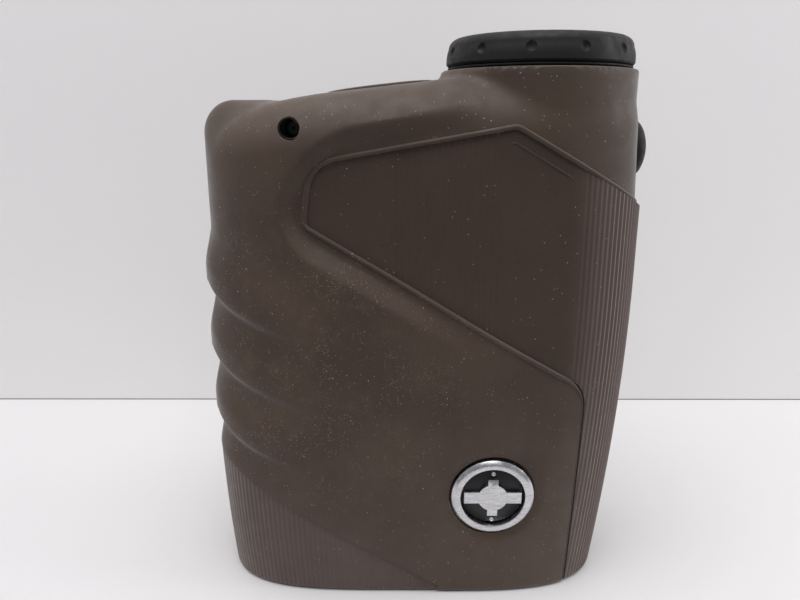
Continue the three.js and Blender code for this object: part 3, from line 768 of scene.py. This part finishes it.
# --- Turned and small pieces ---
def diopter_ring():
    """The eyepiece ring, with twelve dimples round its side."""
    profile = [(12.8, 90.2), (15.0, 90.2), (15.25, 90.5), (15.25, 91.2), (15.2, 91.8), (15.05, 92.5)]
    crown = [(13.1 + 1.8 * math.sin(a), 92.9 + 1.65 * math.cos(a)) for a in np.linspace(math.pi / 2, 0, 10)]
    inner = [(11.7, 94.55), (11.2, 94.4), (10.2, 93.75), (10.25, 93.5), (12.8, 93.4)]
    ring = lathe("focus_ring", [*profile, *crown, *inner], 192, at(TOWER_X))
    dimple = 1.1
    reach = 15.75
    ball = [(dimple * math.sin(a), dimple * math.cos(a)) for a in np.linspace(math.pi, 0, 13)]
    ball[0], ball[-1] = (0, -dimple), (0, dimple)
    for i in range(12):
        angle = math.radians(-75 + 30 * i)
        place = at(TOWER_X + reach * math.cos(angle), reach * math.sin(angle), 92.4)
        cut(ring, lathe("dimple", ball, 24, place))
    smooth_shade(ring, 30)
    piece(ring, "diopter", "black_rubber", "diopter_ring")


def lens_profile(radius, z0, z1, bulge_low, bulge_high):
    """A lens between two heights on its axis, whose faces curve in by the bulges at its rim."""
    steps = np.linspace(0, 1, 13)
    low = [(radius * t, z0 + bulge_low * t * t) for t in steps]
    high = [(radius * t, z1 - bulge_high * t * t) for t in steps[::-1]]
    return [*low, *high]


def eyepiece():
    """The sliding lens cell inside the tower, with its fixed collar and seal."""
    place = at(TOWER_X)
    lens = lathe("eye_lens_glass", lens_profile(9.1, 85.8, 90.9, 1.2, 1), 96, place)
    piece(lens, "ocular", "lens_glass", "eye_lens")
    cell = rounded([(7.9, 73.5), (8.8, 73.5), (8.8, 83.4), (10.3, 84.4), (10.3, 92.2), (9.3, 92.2),
                    (9.3, 85), (7.9, 83.6)], 0.25)
    piece(lathe("eyepiece_cell", cell, 96, place), "ocular", "black_plastic", "ocular_cell")
    profile = rounded([(9.1, 91.2), (9.1, 92.1), (8.3, 92.1), (8.3, 91.2)], 0.2)
    retainer = lathe("eyepiece_retaining_ring", profile, 96, place)
    piece(retainer, "ocular", "black_plastic", "eyepiece_retainer")
    field_lens = lathe("field_lens_glass", lens_profile(7.7, 75, 79, 0.9, 0.9), 96, place)
    piece(field_lens, "ocular", "lens_glass", "field_lens")
    collar = rounded([(10.6, 83.2), (12.4, 83.2), (12.4, 92.6), (10.6, 92.6)], 0.2)
    piece(lathe("eyepiece_collar", collar, 96, place), "root", "black_plastic", "rear_collar")
    seal = rounded([(12.9, 89.7), (15, 89.7), (15, 90), (12.9, 90)], 0.12)
    piece(lathe("eyepiece_seal", seal, 96, place), "root", "black_rubber", "ring_seal")


def lens_mount(name, node, x, cell, glass, ring):
    """A lens at the front end: its cell, its glass and the ring that holds it."""
    place = at(x)
    piece(lathe(f"{name}_cell", rounded(cell, 0.2), 96, place), "root", "black_plastic", f"{node}_cell")
    piece(lathe(f"{name}_lens_glass", glass, 96, place), "root", "lens_glass", f"{node}_lens")
    retainer = lathe(f"{name}_retaining_ring", rounded(ring, 0.2), 96, place)
    piece(retainer, "root", "black_plastic", f"{node}_retainer")


def front_end():
    view_cell = [(8.8, 2.9), (10.5, 2.9), (10.5, 20), (9.5, 20), (9.5, 4.1), (8.8, 4.1)]
    view_ring = [(8.2, 9.8), (9.2, 9.8), (9.2, 11.4), (8.2, 11.4)]
    lens_mount("view", "objective", VIEW_X, view_cell, lens_profile(9.2, 4.4, 9.4, 1.4, 1), view_ring)
    horn = [(10.2, 2.9), (11.7, 2.9), (11.7, 10), (6.5, 38), (5.5, 38)]
    horn += [(10.9, 10.2), (11, 9.8), (11, 4.1), (10.2, 4.1)]
    horn_ring = [(9.2, 9.8), (10.2, 9.8), (10.2, 11), (9.2, 11)]
    lens_mount("receiver", "receiver", RECEIVER_X, horn, lens_profile(10.7, 4.4, 9.4, 1.5, 1.1), horn_ring)


def front_bezel():
    """The plate round both lenses, with stepped rims that lead in to the glass."""
    angles = np.linspace(0, 2 * np.pi, 241)[:-1]
    across, through = section(angles)
    finger, top = finger_edge(0.0), TOP_CREST - 4.1
    rings = []
    for z, inset in ((0.25, 3.8), (0.55, 3.5), (2.6, 3.5)):
        x = (finger + top) / 2 + ((top - finger) / 2 - inset) * across
        y = (FRONT_HALF_THICKNESS - inset) * through
        ring = np.stack([x, y, np.full_like(x, 1.0)], 1)
        ring = settle(ring, lambda p: wall(p[0], p[1], p[2], top_edge(p[2])) + inset)
        ring[:, 2] = z
        rings.append(ring)
    plate = new_object("lens_plate", np.concatenate(rings), loop_faces(3, len(angles)), shade=False)
    outward(plate)
    for x, radius in ((VIEW_X, 8.8), (RECEIVER_X, 10.2)):
        cone = [(0, -1), (radius + 1.1, -1), (radius + 1.1, 0.9), (radius, 1.3), (radius, 3), (0, 3)]
        cut(plate, lathe("bore", cone, 96, at(x)))
    smooth_shade(plate, 30)
    piece(plate, "root", "black_plastic", "front_bezel")


def buttons():
    """The fire button on the top edge and the mode button on the left-hand side."""
    dome = [(4.9 * math.cos(a), 35.1 + 2.28 * math.sin(a)) for a in np.linspace(0.12, math.pi / 2, 12)]
    fire = [(0, 29.8), (5.15, 29.8), (5.15, 30.2), (4.9, 30.2), (4.9, 35.1), *dome[:-1], (0, 37.38)]
    piece(lathe("fire_button_cap", fire, 96, along_x(0, BUTTON_Z)), "fire", "black_rubber", "fire_button")
    crown = [(3.4 * math.cos(a), 16.5 + 0.9 * math.sin(a)) for a in np.linspace(0.15, math.pi / 2, 10)]
    mode = [(0, 12.3), (3.9, 12.3), (3.9, 12.7), (3.4, 12.7), (3.4, 16.5), *crown[:-1], (0, 17.38)]
    piece(lathe("mode_button_cap", mode, 72, along_y(MODE_X, MODE_Z)), "mode", "black_rubber", "mode_button")


def strap_pin():
    """The pin across the lanyard pocket, sunk in its holes, and the eyelet in each hole."""
    half = 10.0
    profile = rounded([(0.001, -half), (STRAP_RADIUS, -half), (STRAP_RADIUS, half), (0.001, half)], 0.3)
    pin = lathe("lanyard_pin", profile, 48, along_y(STRAP_X, STRAP_Z))
    piece(pin, "root", "black_plastic", "strap_pin")
    # Each eyelet is a black part, and its darkness also stands in for the shade deep in its hole: painted
    # shade.
    for side, name in ((RIGHT, "lanyard_eyelet_right"), (LEFT, "lanyard_eyelet_left")):
        rim = rounded([(STRAP_RADIUS + 0.1, 12.4), (1.7, 12.4), (1.7, 14.0), (1.45, 14.0)], 0.08)
        piece(lathe(name, rim, 64, along_y(STRAP_X, STRAP_Z, side)), "root", "black_plastic")


def half_ring(name, outer, inner, z0, z1, place, steps=40):
    """Half of a flat ring on the +Y side."""
    angles = np.linspace(0, math.pi, steps)
    outline = [(outer * math.cos(a), outer * math.sin(a)) for a in angles]
    outline += [(inner * math.cos(a), inner * math.sin(a)) for a in angles[::-1]]
    points = [place @ Vector((x, y, z)) for z in (z0, z1) for x, y in outline]
    obj = new_object(name, points, loop_faces(2, len(outline)), shade=False)
    outward(obj)
    return obj


def bevel(obj, width, segments=2):
    """Bevels an object's edges that are sharper than 40 degrees."""
    modifier = obj.modifiers.new("bevel", "BEVEL")
    modifier.width = width * MM
    modifier.segments = segments
    modifier.limit_method = "ANGLE"
    modifier.angle_limit = math.radians(40)
    graph = bpy.context.evaluated_depsgraph_get()
    mesh = bpy.data.meshes.new_from_object(obj.evaluated_get(graph))
    obj.modifiers.clear()
    obj.data = mesh
    smooth_shade(obj)


def battery_cap():
    """The cap, with a groove for its seal, and the half-ring tab that lies in its recess."""
    grooved = [(0, -4.6), (7.8, -4.6), (7.8, -3.5), (7.1, -3.5), (7.1, -2.6), (7.8, -2.6), (7.8, -1.5)]
    rim = [(8.85, -1.5), (8.98, -1.35), (8.98, 0), (8.9, 0.2), (8.65, 0.33), (8.4, 0.35), (0, 0.35)]
    cap = lathe("cap", grooved + rim, 120, BAY)
    cut(cap, half_ring("recess", 7.7, 5.3, -0.3, 2, BAY))
    for end in (-1, 1):
        near, far = sorted((end * 5.3, end * 8.3))
        cut(cap, placed_box("slot", (near, -0.8, -0.3), (far, 0.8, 2), BAY))
    smooth_shade(cap, 30)
    cap.name = "battery_cap_disc"
    piece(cap, "cap", "shell_plastic", "battery_cap")
    tab = half_ring("cap_tab", 7.4, 5.6, -0.05, 0.35, BAY)
    bevel(tab, 0.1)
    hinge = BAY @ at(0, 0, 0.15) @ Matrix.Rotation(math.pi / 2, 4, "Y")
    for end in (-1, 1):
        near, far = sorted((end * 6.1, end * 8.0))
        combine(tab, rod("axle", 0.2, near, far, hinge, 24), "UNION")
    smooth_shade(tab)
    piece(tab, "tab", "shell_plastic", "battery_cap_tab")


def medallion():
    """The round badge: a bright ring, a dark plate, two studs and a generic four-armed sign."""
    outer_edge = [(5.45, -1.2), (7.0, -1.2), (7.0, -0.35), (6.6, 0.05)]
    ring = outer_edge + [(6.5, 0.1), (5.6, 0.1), (5.5, 0.05), (5.45, -0.1)]
    piece(lathe("badge_ring", ring, 160, ON_MEDALLION), "root", "silver_metal", "medallion_ring")
    disc = [(0, -1.2), (5.2, -1.2), (5.2, -0.82), (5.1, -0.75), (0, -0.75)]
    piece(lathe("badge_disc", disc, 120, ON_MEDALLION), "root", "black_plastic", "medallion_disc")
    stud = [(0, -0.75), (0.42, -0.75), (0.42, -0.35), (0.25, -0.12), (0, -0.05)]
    for name, height in (("badge_stud_lower", -4.45), ("badge_stud_upper", 4.45)):
        piece(lathe(name, stud, 32, ON_MEDALLION @ at(0, height)), "root", "silver_metal")
    emblem = rod("badge_emblem", 2.5, -0.6, 0, ON_MEDALLION, 64)
    for long_x, long_y in ((4.85, 1.05), (0.85, 3.5)):
        arm = placed_box("arm", (-long_x, -long_y, -0.6), (long_x, long_y, 0), ON_MEDALLION)
        combine(emblem, arm, "UNION")
    bevel(emblem, 0.16, 3)
    piece(emblem, "root", "silver_metal", "medallion_emblem")


# --- Materials ---
class Finish:
    """A procedural material, built node by node. Pattern lengths are in millimetres."""

    def __init__(self, name, **uniform):
        self.material = bpy.data.materials.new(name)
        self.material.use_nodes = True
        self.tree = self.material.node_tree
        self.shader = self.tree.nodes["Principled BSDF"]
        for socket, value in uniform.items():
            self.shader.inputs[socket.replace("_", " ")].default_value = value
        coordinates = self.node("ShaderNodeTexCoord")
        scale = self.node("ShaderNodeVectorMath", operation="SCALE")
        scale.inputs["Scale"].default_value = 1000.0
        self.link(coordinates.outputs["Object"], scale.inputs[0])
        self.place = scale.outputs[0]

    def node(self, kind, **settings):
        node = self.tree.nodes.new(kind)
        for key, value in settings.items():
            setattr(node, key, value)
        return node

    def link(self, source, target):
        self.tree.links.new(source, target)

    def noise(self, size, detail=3.0, rough=0.5, place=None):
        node = self.node("ShaderNodeTexNoise")
        node.inputs["Scale"].default_value = 1.0 / size
        node.inputs["Detail"].default_value = detail
        node.inputs["Roughness"].default_value = rough
        self.link(place or self.place, node.inputs["Vector"])
        return node.outputs["Fac"]

    def cells(self, size):
        node = self.node("ShaderNodeTexVoronoi")
        node.inputs["Scale"].default_value = 1.0 / size
        self.link(self.place, node.inputs["Vector"])
        return node.outputs["Distance"]

    def ramp(self, source, low, high, from_low=0.0, from_high=1.0):
        node = self.node("ShaderNodeMapRange", interpolation_type="SMOOTHSTEP")
        limits = {"From Min": from_low, "From Max": from_high, "To Min": low, "To Max": high}
        for name, value in limits.items():
            node.inputs[name].default_value = value
        self.link(source, node.inputs["Value"])
        return node.outputs["Result"]

    def math(self, operation, a, b):
        node = self.node("ShaderNodeMath", operation=operation)
        for value, socket in ((a, node.inputs[0]), (b, node.inputs[1])):
            if isinstance(value, (int, float)):
                socket.default_value = value
            else:
                self.link(value, socket)
        return node.outputs[0]

    def mix(self, share, a, b):
        node = self.node("ShaderNodeMix", data_type="RGBA")
        for value, socket in ((share, node.inputs[0]), (a, node.inputs[6]), (b, node.inputs[7])):
            if isinstance(value, (int, float, tuple)):
                socket.default_value = value
            else:
                self.link(value, socket)
        return node.outputs[2]

    def stretched(self, x, y, z):
        node = self.node("ShaderNodeVectorMath", operation="MULTIPLY")
        node.inputs[1].default_value = (x, y, z)
        self.link(self.place, node.inputs[0])
        return node.outputs[0]

    def near(self, point, reach_low, reach_high):
        """1 near a point, falling to 0 between two distances."""
        node = self.node("ShaderNodeVectorMath", operation="DISTANCE")
        node.inputs[1].default_value = point
        self.link(self.place, node.inputs[0])
        return self.ramp(node.outputs["Value"], 1.0, 0.0, reach_low, reach_high)

    def colour(self, source):
        self.link(source, self.shader.inputs["Base Color"])

    def roughness(self, source):
        self.link(source, self.shader.inputs["Roughness"])

    def bump(self, height, depth):
        """Adds a bump of a depth in millimetres under whatever bump there is already."""
        node = self.node("ShaderNodeBump")
        node.inputs["Strength"].default_value = 1.0
        node.inputs["Distance"].default_value = depth * MM
        self.link(height, node.inputs["Height"])
        target = self.shader.inputs["Normal"]
        if target.is_linked:
            self.link(target.links[0].from_socket, node.inputs["Normal"])
        self.link(node.outputs["Normal"], target)


def srgb(r, g, b):
    """A colour from its eight-bit screen values."""
    def linear(v):
        v /= 255
        return v / 12.92 if v <= 0.04045 else ((v + 0.055) / 1.055) ** 2.4
    return (linear(r), linear(g), linear(b), 1.0)


def specks(finish, size, share, sharpness=0.16):
    """Small dust specks: a dot in some of the cells."""
    dots = finish.ramp(finish.cells(size), 1.0, 0.0, 0.04, sharpness)
    chosen = finish.ramp(finish.noise(size * 2.3, 1), 0.0, 1.0, 1 - share, 1 - share + 0.03)
    return finish.math("MULTIPLY", dots, chosen)


MATT = {"Specular_IOR_Level": 0.36, "Sheen_Weight": 0.28, "Sheen_Roughness": 0.4}
DARK_MATT = {"Specular_IOR_Level": 0.3, "Sheen_Weight": 0.04, "Sheen_Roughness": 0.4}


def armour_rubber():
    """Soft brown rubber, hazy, scratched and dusty where the hand holds it."""
    finish = Finish("armour rubber", Roughness=0.6, **MATT)
    dark, light = srgb(68, 53, 44), srgb(78, 63, 52)
    colour = finish.mix(finish.ramp(finish.noise(14, 4), 0, 1, 0.3, 0.7), dark, light)
    worn = finish.near((-20.0, -17.0, 44.0), 10.0, 40.0)
    haze = finish.math("MULTIPLY", finish.ramp(finish.noise(5, 7, 0.7), 0, 0.4, 0.5, 0.74), worn)
    colour = finish.mix(haze, colour, srgb(94, 82, 65))
    scratches = finish.ramp(finish.noise(0.7, 3, 0.6, finish.stretched(1.0, 1.0, 0.22)), 0, 0.35, 0.66, 0.78)
    colour = finish.mix(finish.math("MULTIPLY", scratches, worn), colour, srgb(140, 130, 116))
    clusters = finish.math("MULTIPLY", finish.ramp(finish.noise(6, 2), 0.15, 1, 0.42, 0.62), worn)
    grime = finish.math("MULTIPLY", specks(finish, 0.36, 0.56, 0.26), clusters)
    scattered = finish.math("MAXIMUM", specks(finish, 0.6, 0.45), specks(finish, 1.7, 0.5, 0.07))
    dust = finish.math("MAXIMUM", scattered, grime)
    colour = finish.mix(finish.math("MULTIPLY", dust, 0.75), colour, srgb(184, 174, 160))
    finish.colour(colour)
    finish.roughness(finish.ramp(finish.noise(3, 4), 0.5, 0.66, 0.3, 0.7))
    finish.bump(finish.noise(0.16, 2), 0.012)
    finish.bump(finish.noise(1.6, 3), 0.02)
    return finish.material


def shell_plastic():
    """Grained brown plastic, with painted highlight: paler along the strong ribs and on the lower corner,
    where light catches them.
    """
    finish = Finish("shell plastic", Roughness=0.55, **MATT)
    dark, light = srgb(61, 47, 38), srgb(69, 54, 44)
    colour = finish.mix(finish.ramp(finish.noise(16, 4), 0, 1, 0.3, 0.7), dark, light)
    grain = finish.ramp(finish.noise(0.22, 2), 0, 0.3, 0.45, 0.7)
    colour = finish.mix(grain, colour, srgb(81, 67, 56))
    axes = finish.node("ShaderNodeSeparateXYZ")
    finish.link(finish.place, axes.inputs[0])
    # Painted highlight: the strong ribs (strip) and the lower corner (foot) turn paler, standing in for the
    # light they catch.
    strip = finish.ramp(axes.outputs["X"], 0.0, 0.75, 21.0, 33.0)
    foot = finish.math("MULTIPLY", finish.ramp(axes.outputs["X"], 0.38, 0.0, -6.0, 6.0),
                       finish.ramp(axes.outputs["Z"], 1.0, 0.0, 22.0, 32.0))
    colour = finish.mix(finish.math("MAXIMUM", strip, foot), colour, srgb(104, 89, 84))
    dust = finish.math("MAXIMUM", specks(finish, 0.85, 0.42), specks(finish, 1.7, 0.5, 0.07))
    colour = finish.mix(finish.math("MULTIPLY", dust, 0.65), colour, srgb(176, 166, 152))
    finish.colour(colour)
    finish.roughness(finish.ramp(finish.noise(2.4, 4), 0.48, 0.62, 0.3, 0.7))
    finish.bump(finish.noise(0.14, 2), 0.01)
    return finish.material


def black_rubber():
    finish = Finish("black rubber", Roughness=0.6, **DARK_MATT)
    shade = finish.ramp(finish.noise(5, 4), 0, 1, 0.3, 0.7)
    colour = finish.mix(shade, srgb(17, 17, 18), srgb(26, 26, 28))
    dust = finish.math("MULTIPLY", specks(finish, 0.8, 0.38), 0.3)
    colour = finish.mix(dust, colour, srgb(120, 118, 116))
    finish.colour(colour)
    finish.roughness(finish.ramp(finish.noise(1.5, 4), 0.5, 0.68, 0.3, 0.7))
    finish.bump(finish.noise(0.14, 2), 0.01)
    return finish.material


def black_plastic():
    finish = Finish("black plastic", Roughness=0.42, Specular_IOR_Level=0.5)
    colour = finish.mix(finish.ramp(finish.noise(4, 4), 0, 1, 0.3, 0.7), srgb(13, 13, 14), srgb(22, 22, 23))
    finish.colour(colour)
    finish.roughness(finish.ramp(finish.noise(1.2, 4), 0.34, 0.5, 0.3, 0.7))
    finish.bump(finish.noise(0.18, 2), 0.006)
    return finish.material


def grey_plastic():
    finish = Finish("grey plastic", Roughness=0.5, Specular_IOR_Level=0.5)
    colour = finish.mix(finish.ramp(finish.noise(6, 4), 0, 1, 0.3, 0.7), srgb(78, 82, 86), srgb(96, 99, 103))
    finish.colour(colour)
    finish.roughness(finish.ramp(finish.noise(1.2, 4), 0.4, 0.56, 0.3, 0.7))
    finish.bump(finish.noise(0.2, 2), 0.008)
    return finish.material


def brushed(name, low, high, rough_low, rough_high, line=(0.25, 9.0, 9.0), depth=0.006):
    finish = Finish(name, Metallic=1.0, Roughness=0.3)
    lines = finish.noise(0.5, 4, 0.6, finish.stretched(*line))
    finish.colour(finish.mix(finish.ramp(lines, 0, 1, 0.3, 0.7), low, high))
    finish.roughness(finish.ramp(finish.noise(1.4, 4), rough_low, rough_high, 0.3, 0.7))
    finish.bump(lines, depth)
    return finish.material


def lens_glass():
    finish = Finish("coated glass", Roughness=0.03, Transmission_Weight=0.92, IOR=1.52, Coat_Weight=0.6)
    shade = finish.ramp(finish.noise(9, 2), 0, 1, 0.35, 0.65)
    finish.colour(finish.mix(shade, (0.42, 0.55, 0.7, 1), (0.56, 0.5, 0.72, 1)))
    finish.roughness(finish.ramp(finish.noise(2.5, 4), 0.02, 0.06, 0.4, 0.7))
    return finish.material


def circuit_board():
    finish = Finish("circuit board", Roughness=0.4, Specular_IOR_Level=0.5, Coat_Weight=0.2)
    traces = finish.ramp(finish.cells(1.6), 0, 1, 0.42, 0.46)
    pads = finish.ramp(finish.cells(2.4), 1, 0, 0.14, 0.17)
    colour = finish.mix(traces, srgb(18, 74, 46), srgb(34, 104, 66))
    finish.colour(finish.mix(pads, colour, srgb(190, 160, 92)))
    finish.roughness(finish.ramp(finish.noise(1.5, 3), 0.3, 0.46, 0.3, 0.7))
    finish.bump(traces, 0.02)
    return finish.material


def sleeve():
    finish = Finish("printed sleeve", Roughness=0.35, Specular_IOR_Level=0.5)
    colour = finish.mix(finish.ramp(finish.noise(5, 3), 0, 1, 0.3, 0.7), srgb(38, 48, 66), srgb(52, 63, 84))
    finish.colour(colour)
    finish.roughness(finish.ramp(finish.noise(1.1, 4), 0.28, 0.42, 0.3, 0.7))
    finish.bump(finish.noise(1.5, 3), 0.01)
    return finish.material


def all_finishes():
    return {
        "armour_rubber": armour_rubber(),
        "shell_plastic": shell_plastic(),
        "black_rubber": black_rubber(),
        "black_plastic": black_plastic(),
        "grey_plastic": grey_plastic(),
        "silver_metal": brushed("silver metal", srgb(176, 176, 178), srgb(226, 226, 228), 0.2, 0.34),
        "steel": brushed("steel", srgb(128, 130, 134), srgb(170, 172, 176), 0.28, 0.42),
        "brass": brushed("brass", srgb(168, 132, 62), srgb(206, 170, 96), 0.26, 0.4),
        "lens_glass": lens_glass(),
        "circuit_board": circuit_board(),
        "sleeve": sleeve(),
    }


def paint_everything(finishes):
    """Each piece takes its slot's finish, and each shown CAD node the finish of its record slot."""
    for part in frame["record"]["subparts"]:
        set_material(NODES[part["node"]], finishes[part["material_slot"]])
    for obj in bpy.context.scene.objects:
        if obj.type == "MESH" and "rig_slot" in obj:
            set_material(obj, finishes[obj["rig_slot"]])


def set_material(obj, material):
    obj.data.materials.clear()
    obj.data.materials.append(material)


# --- Stage, light and camera ---
def stage_finish(name, colour, rough, one_sided=False):
    """A card's finish. A one-sided card isn't there for rays that come from behind it."""
    finish = Finish(name, Roughness=rough, Specular_IOR_Level=0.3)
    softly = finish.ramp(finish.noise(120, 2), 0, 1, 0.3, 0.7)
    finish.colour(finish.mix(softly, colour, tuple(min(1, c * 1.02) for c in colour[:3]) + (1,)))
    if one_sided:
        geometry = finish.node("ShaderNodeNewGeometry")
        clear = finish.node("ShaderNodeBsdfTransparent")
        either = finish.node("ShaderNodeMixShader")
        finish.link(geometry.outputs["Backfacing"], either.inputs[0])
        finish.link(finish.shader.outputs[0], either.inputs[1])
        finish.link(clear.outputs[0], either.inputs[2])
        finish.link(either.outputs[0], finish.tree.nodes["Material Output"].inputs["Surface"])
    return finish.material


CARD = 900
HORIZON = 70
FLOOR_FRONT = -70


def upright_card(name, y, height):
    points = [(-CARD, y, 0), (CARD, y, 0), (CARD, y, height), (-CARD, y, height)]
    return new_object(name, points, [(0, 1, 2, 3)], False)


def stage():
    """A pale floor and backdrop, with a thin dark line where they meet: painted shade in the crease between
    them.
    """
    ground = [(-CARD, FLOOR_FRONT, 0), (CARD, FLOOR_FRONT, 0), (CARD, HORIZON, 0), (-CARD, HORIZON, 0)]
    floor = new_object("floor", ground, [(0, 1, 2, 3)], False)
    backdrop = upright_card("backdrop", HORIZON, CARD)
    # A thin dark strip of painted shade where the floor meets the backdrop.
    foot = upright_card("backdrop_crease_shade", HORIZON - 0.2, 0.3)
    set_material(floor, stage_finish("floor card", srgb(219, 217, 218), 0.6))
    set_material(backdrop, stage_finish("backdrop card", srgb(236, 234, 234), 0.7, True))
    # The strip's dark grey is painted shade in the crease.
    set_material(foot, stage_finish("backdrop crease shade", srgb(120, 118, 118), 0.8, True))


def area_light(name, place, target, size, power):
    data = bpy.data.lights.new(name, "AREA")
    data.shape = "RECTANGLE"
    data.size, data.size_y = size[0] * MM, size[1] * MM
    data.energy = power
    light = bpy.data.objects.new(name, data)
    light.location = Vector(place) * MM
    aim = (Vector(target) - Vector(place)).normalized()
    light.rotation_euler = aim.to_track_quat("-Z", "Y").to_euler()
    bpy.context.scene.collection.objects.link(light)


def lights():
    """A wide soft light overhead, weaker ones at the sides and a dim even fill."""
    world = bpy.data.worlds.new("studio")
    world.use_nodes = True
    fill = world.node_tree.nodes["Background"]
    fill.inputs["Color"].default_value = (0.94, 0.95, 1.0, 1)
    fill.inputs["Strength"].default_value = 0.29
    bpy.context.scene.world = world
    area_light("overhead", (-60, -150, 520), (0, 0, 40), (560, 400), 2.6)
    area_light("right", (420, -40, 240), (0, 0, 50), (160, 300), 0.62)
    area_light("left", (-420, -40, 240), (0, 0, 50), (160, 300), 0.12)


SENSOR = 36.0
FOCAL_SHARE = 0.85  # focal length over the picture's width


def camera():
    data = bpy.data.cameras.new("camera")
    data.sensor_width = SENSOR
    data.lens = SENSOR * FOCAL_SHARE
    data.clip_start = 0.005
    obj = bpy.data.objects.new("camera", data)
    obj.location = Vector((-3.87, -119.0, 82.8)) * MM
    obj.rotation_euler = (math.radians(90 - 15.35), 0, math.radians(0.09))
    bpy.context.scene.collection.objects.link(obj)
    bpy.context.scene.camera = obj
    bpy.context.scene.view_settings.view_transform = "Standard"


# --- The whole scene ---
camera()
lights()
stage()
body_pieces()
border_beads()
plaque_lines()
diopter_ring()
eyepiece()
front_end()
front_bezel()
buttons()
strap_pin()
battery_cap()
medallion()
paint_everything(all_finishes())

bpy.context.view_layer.update()
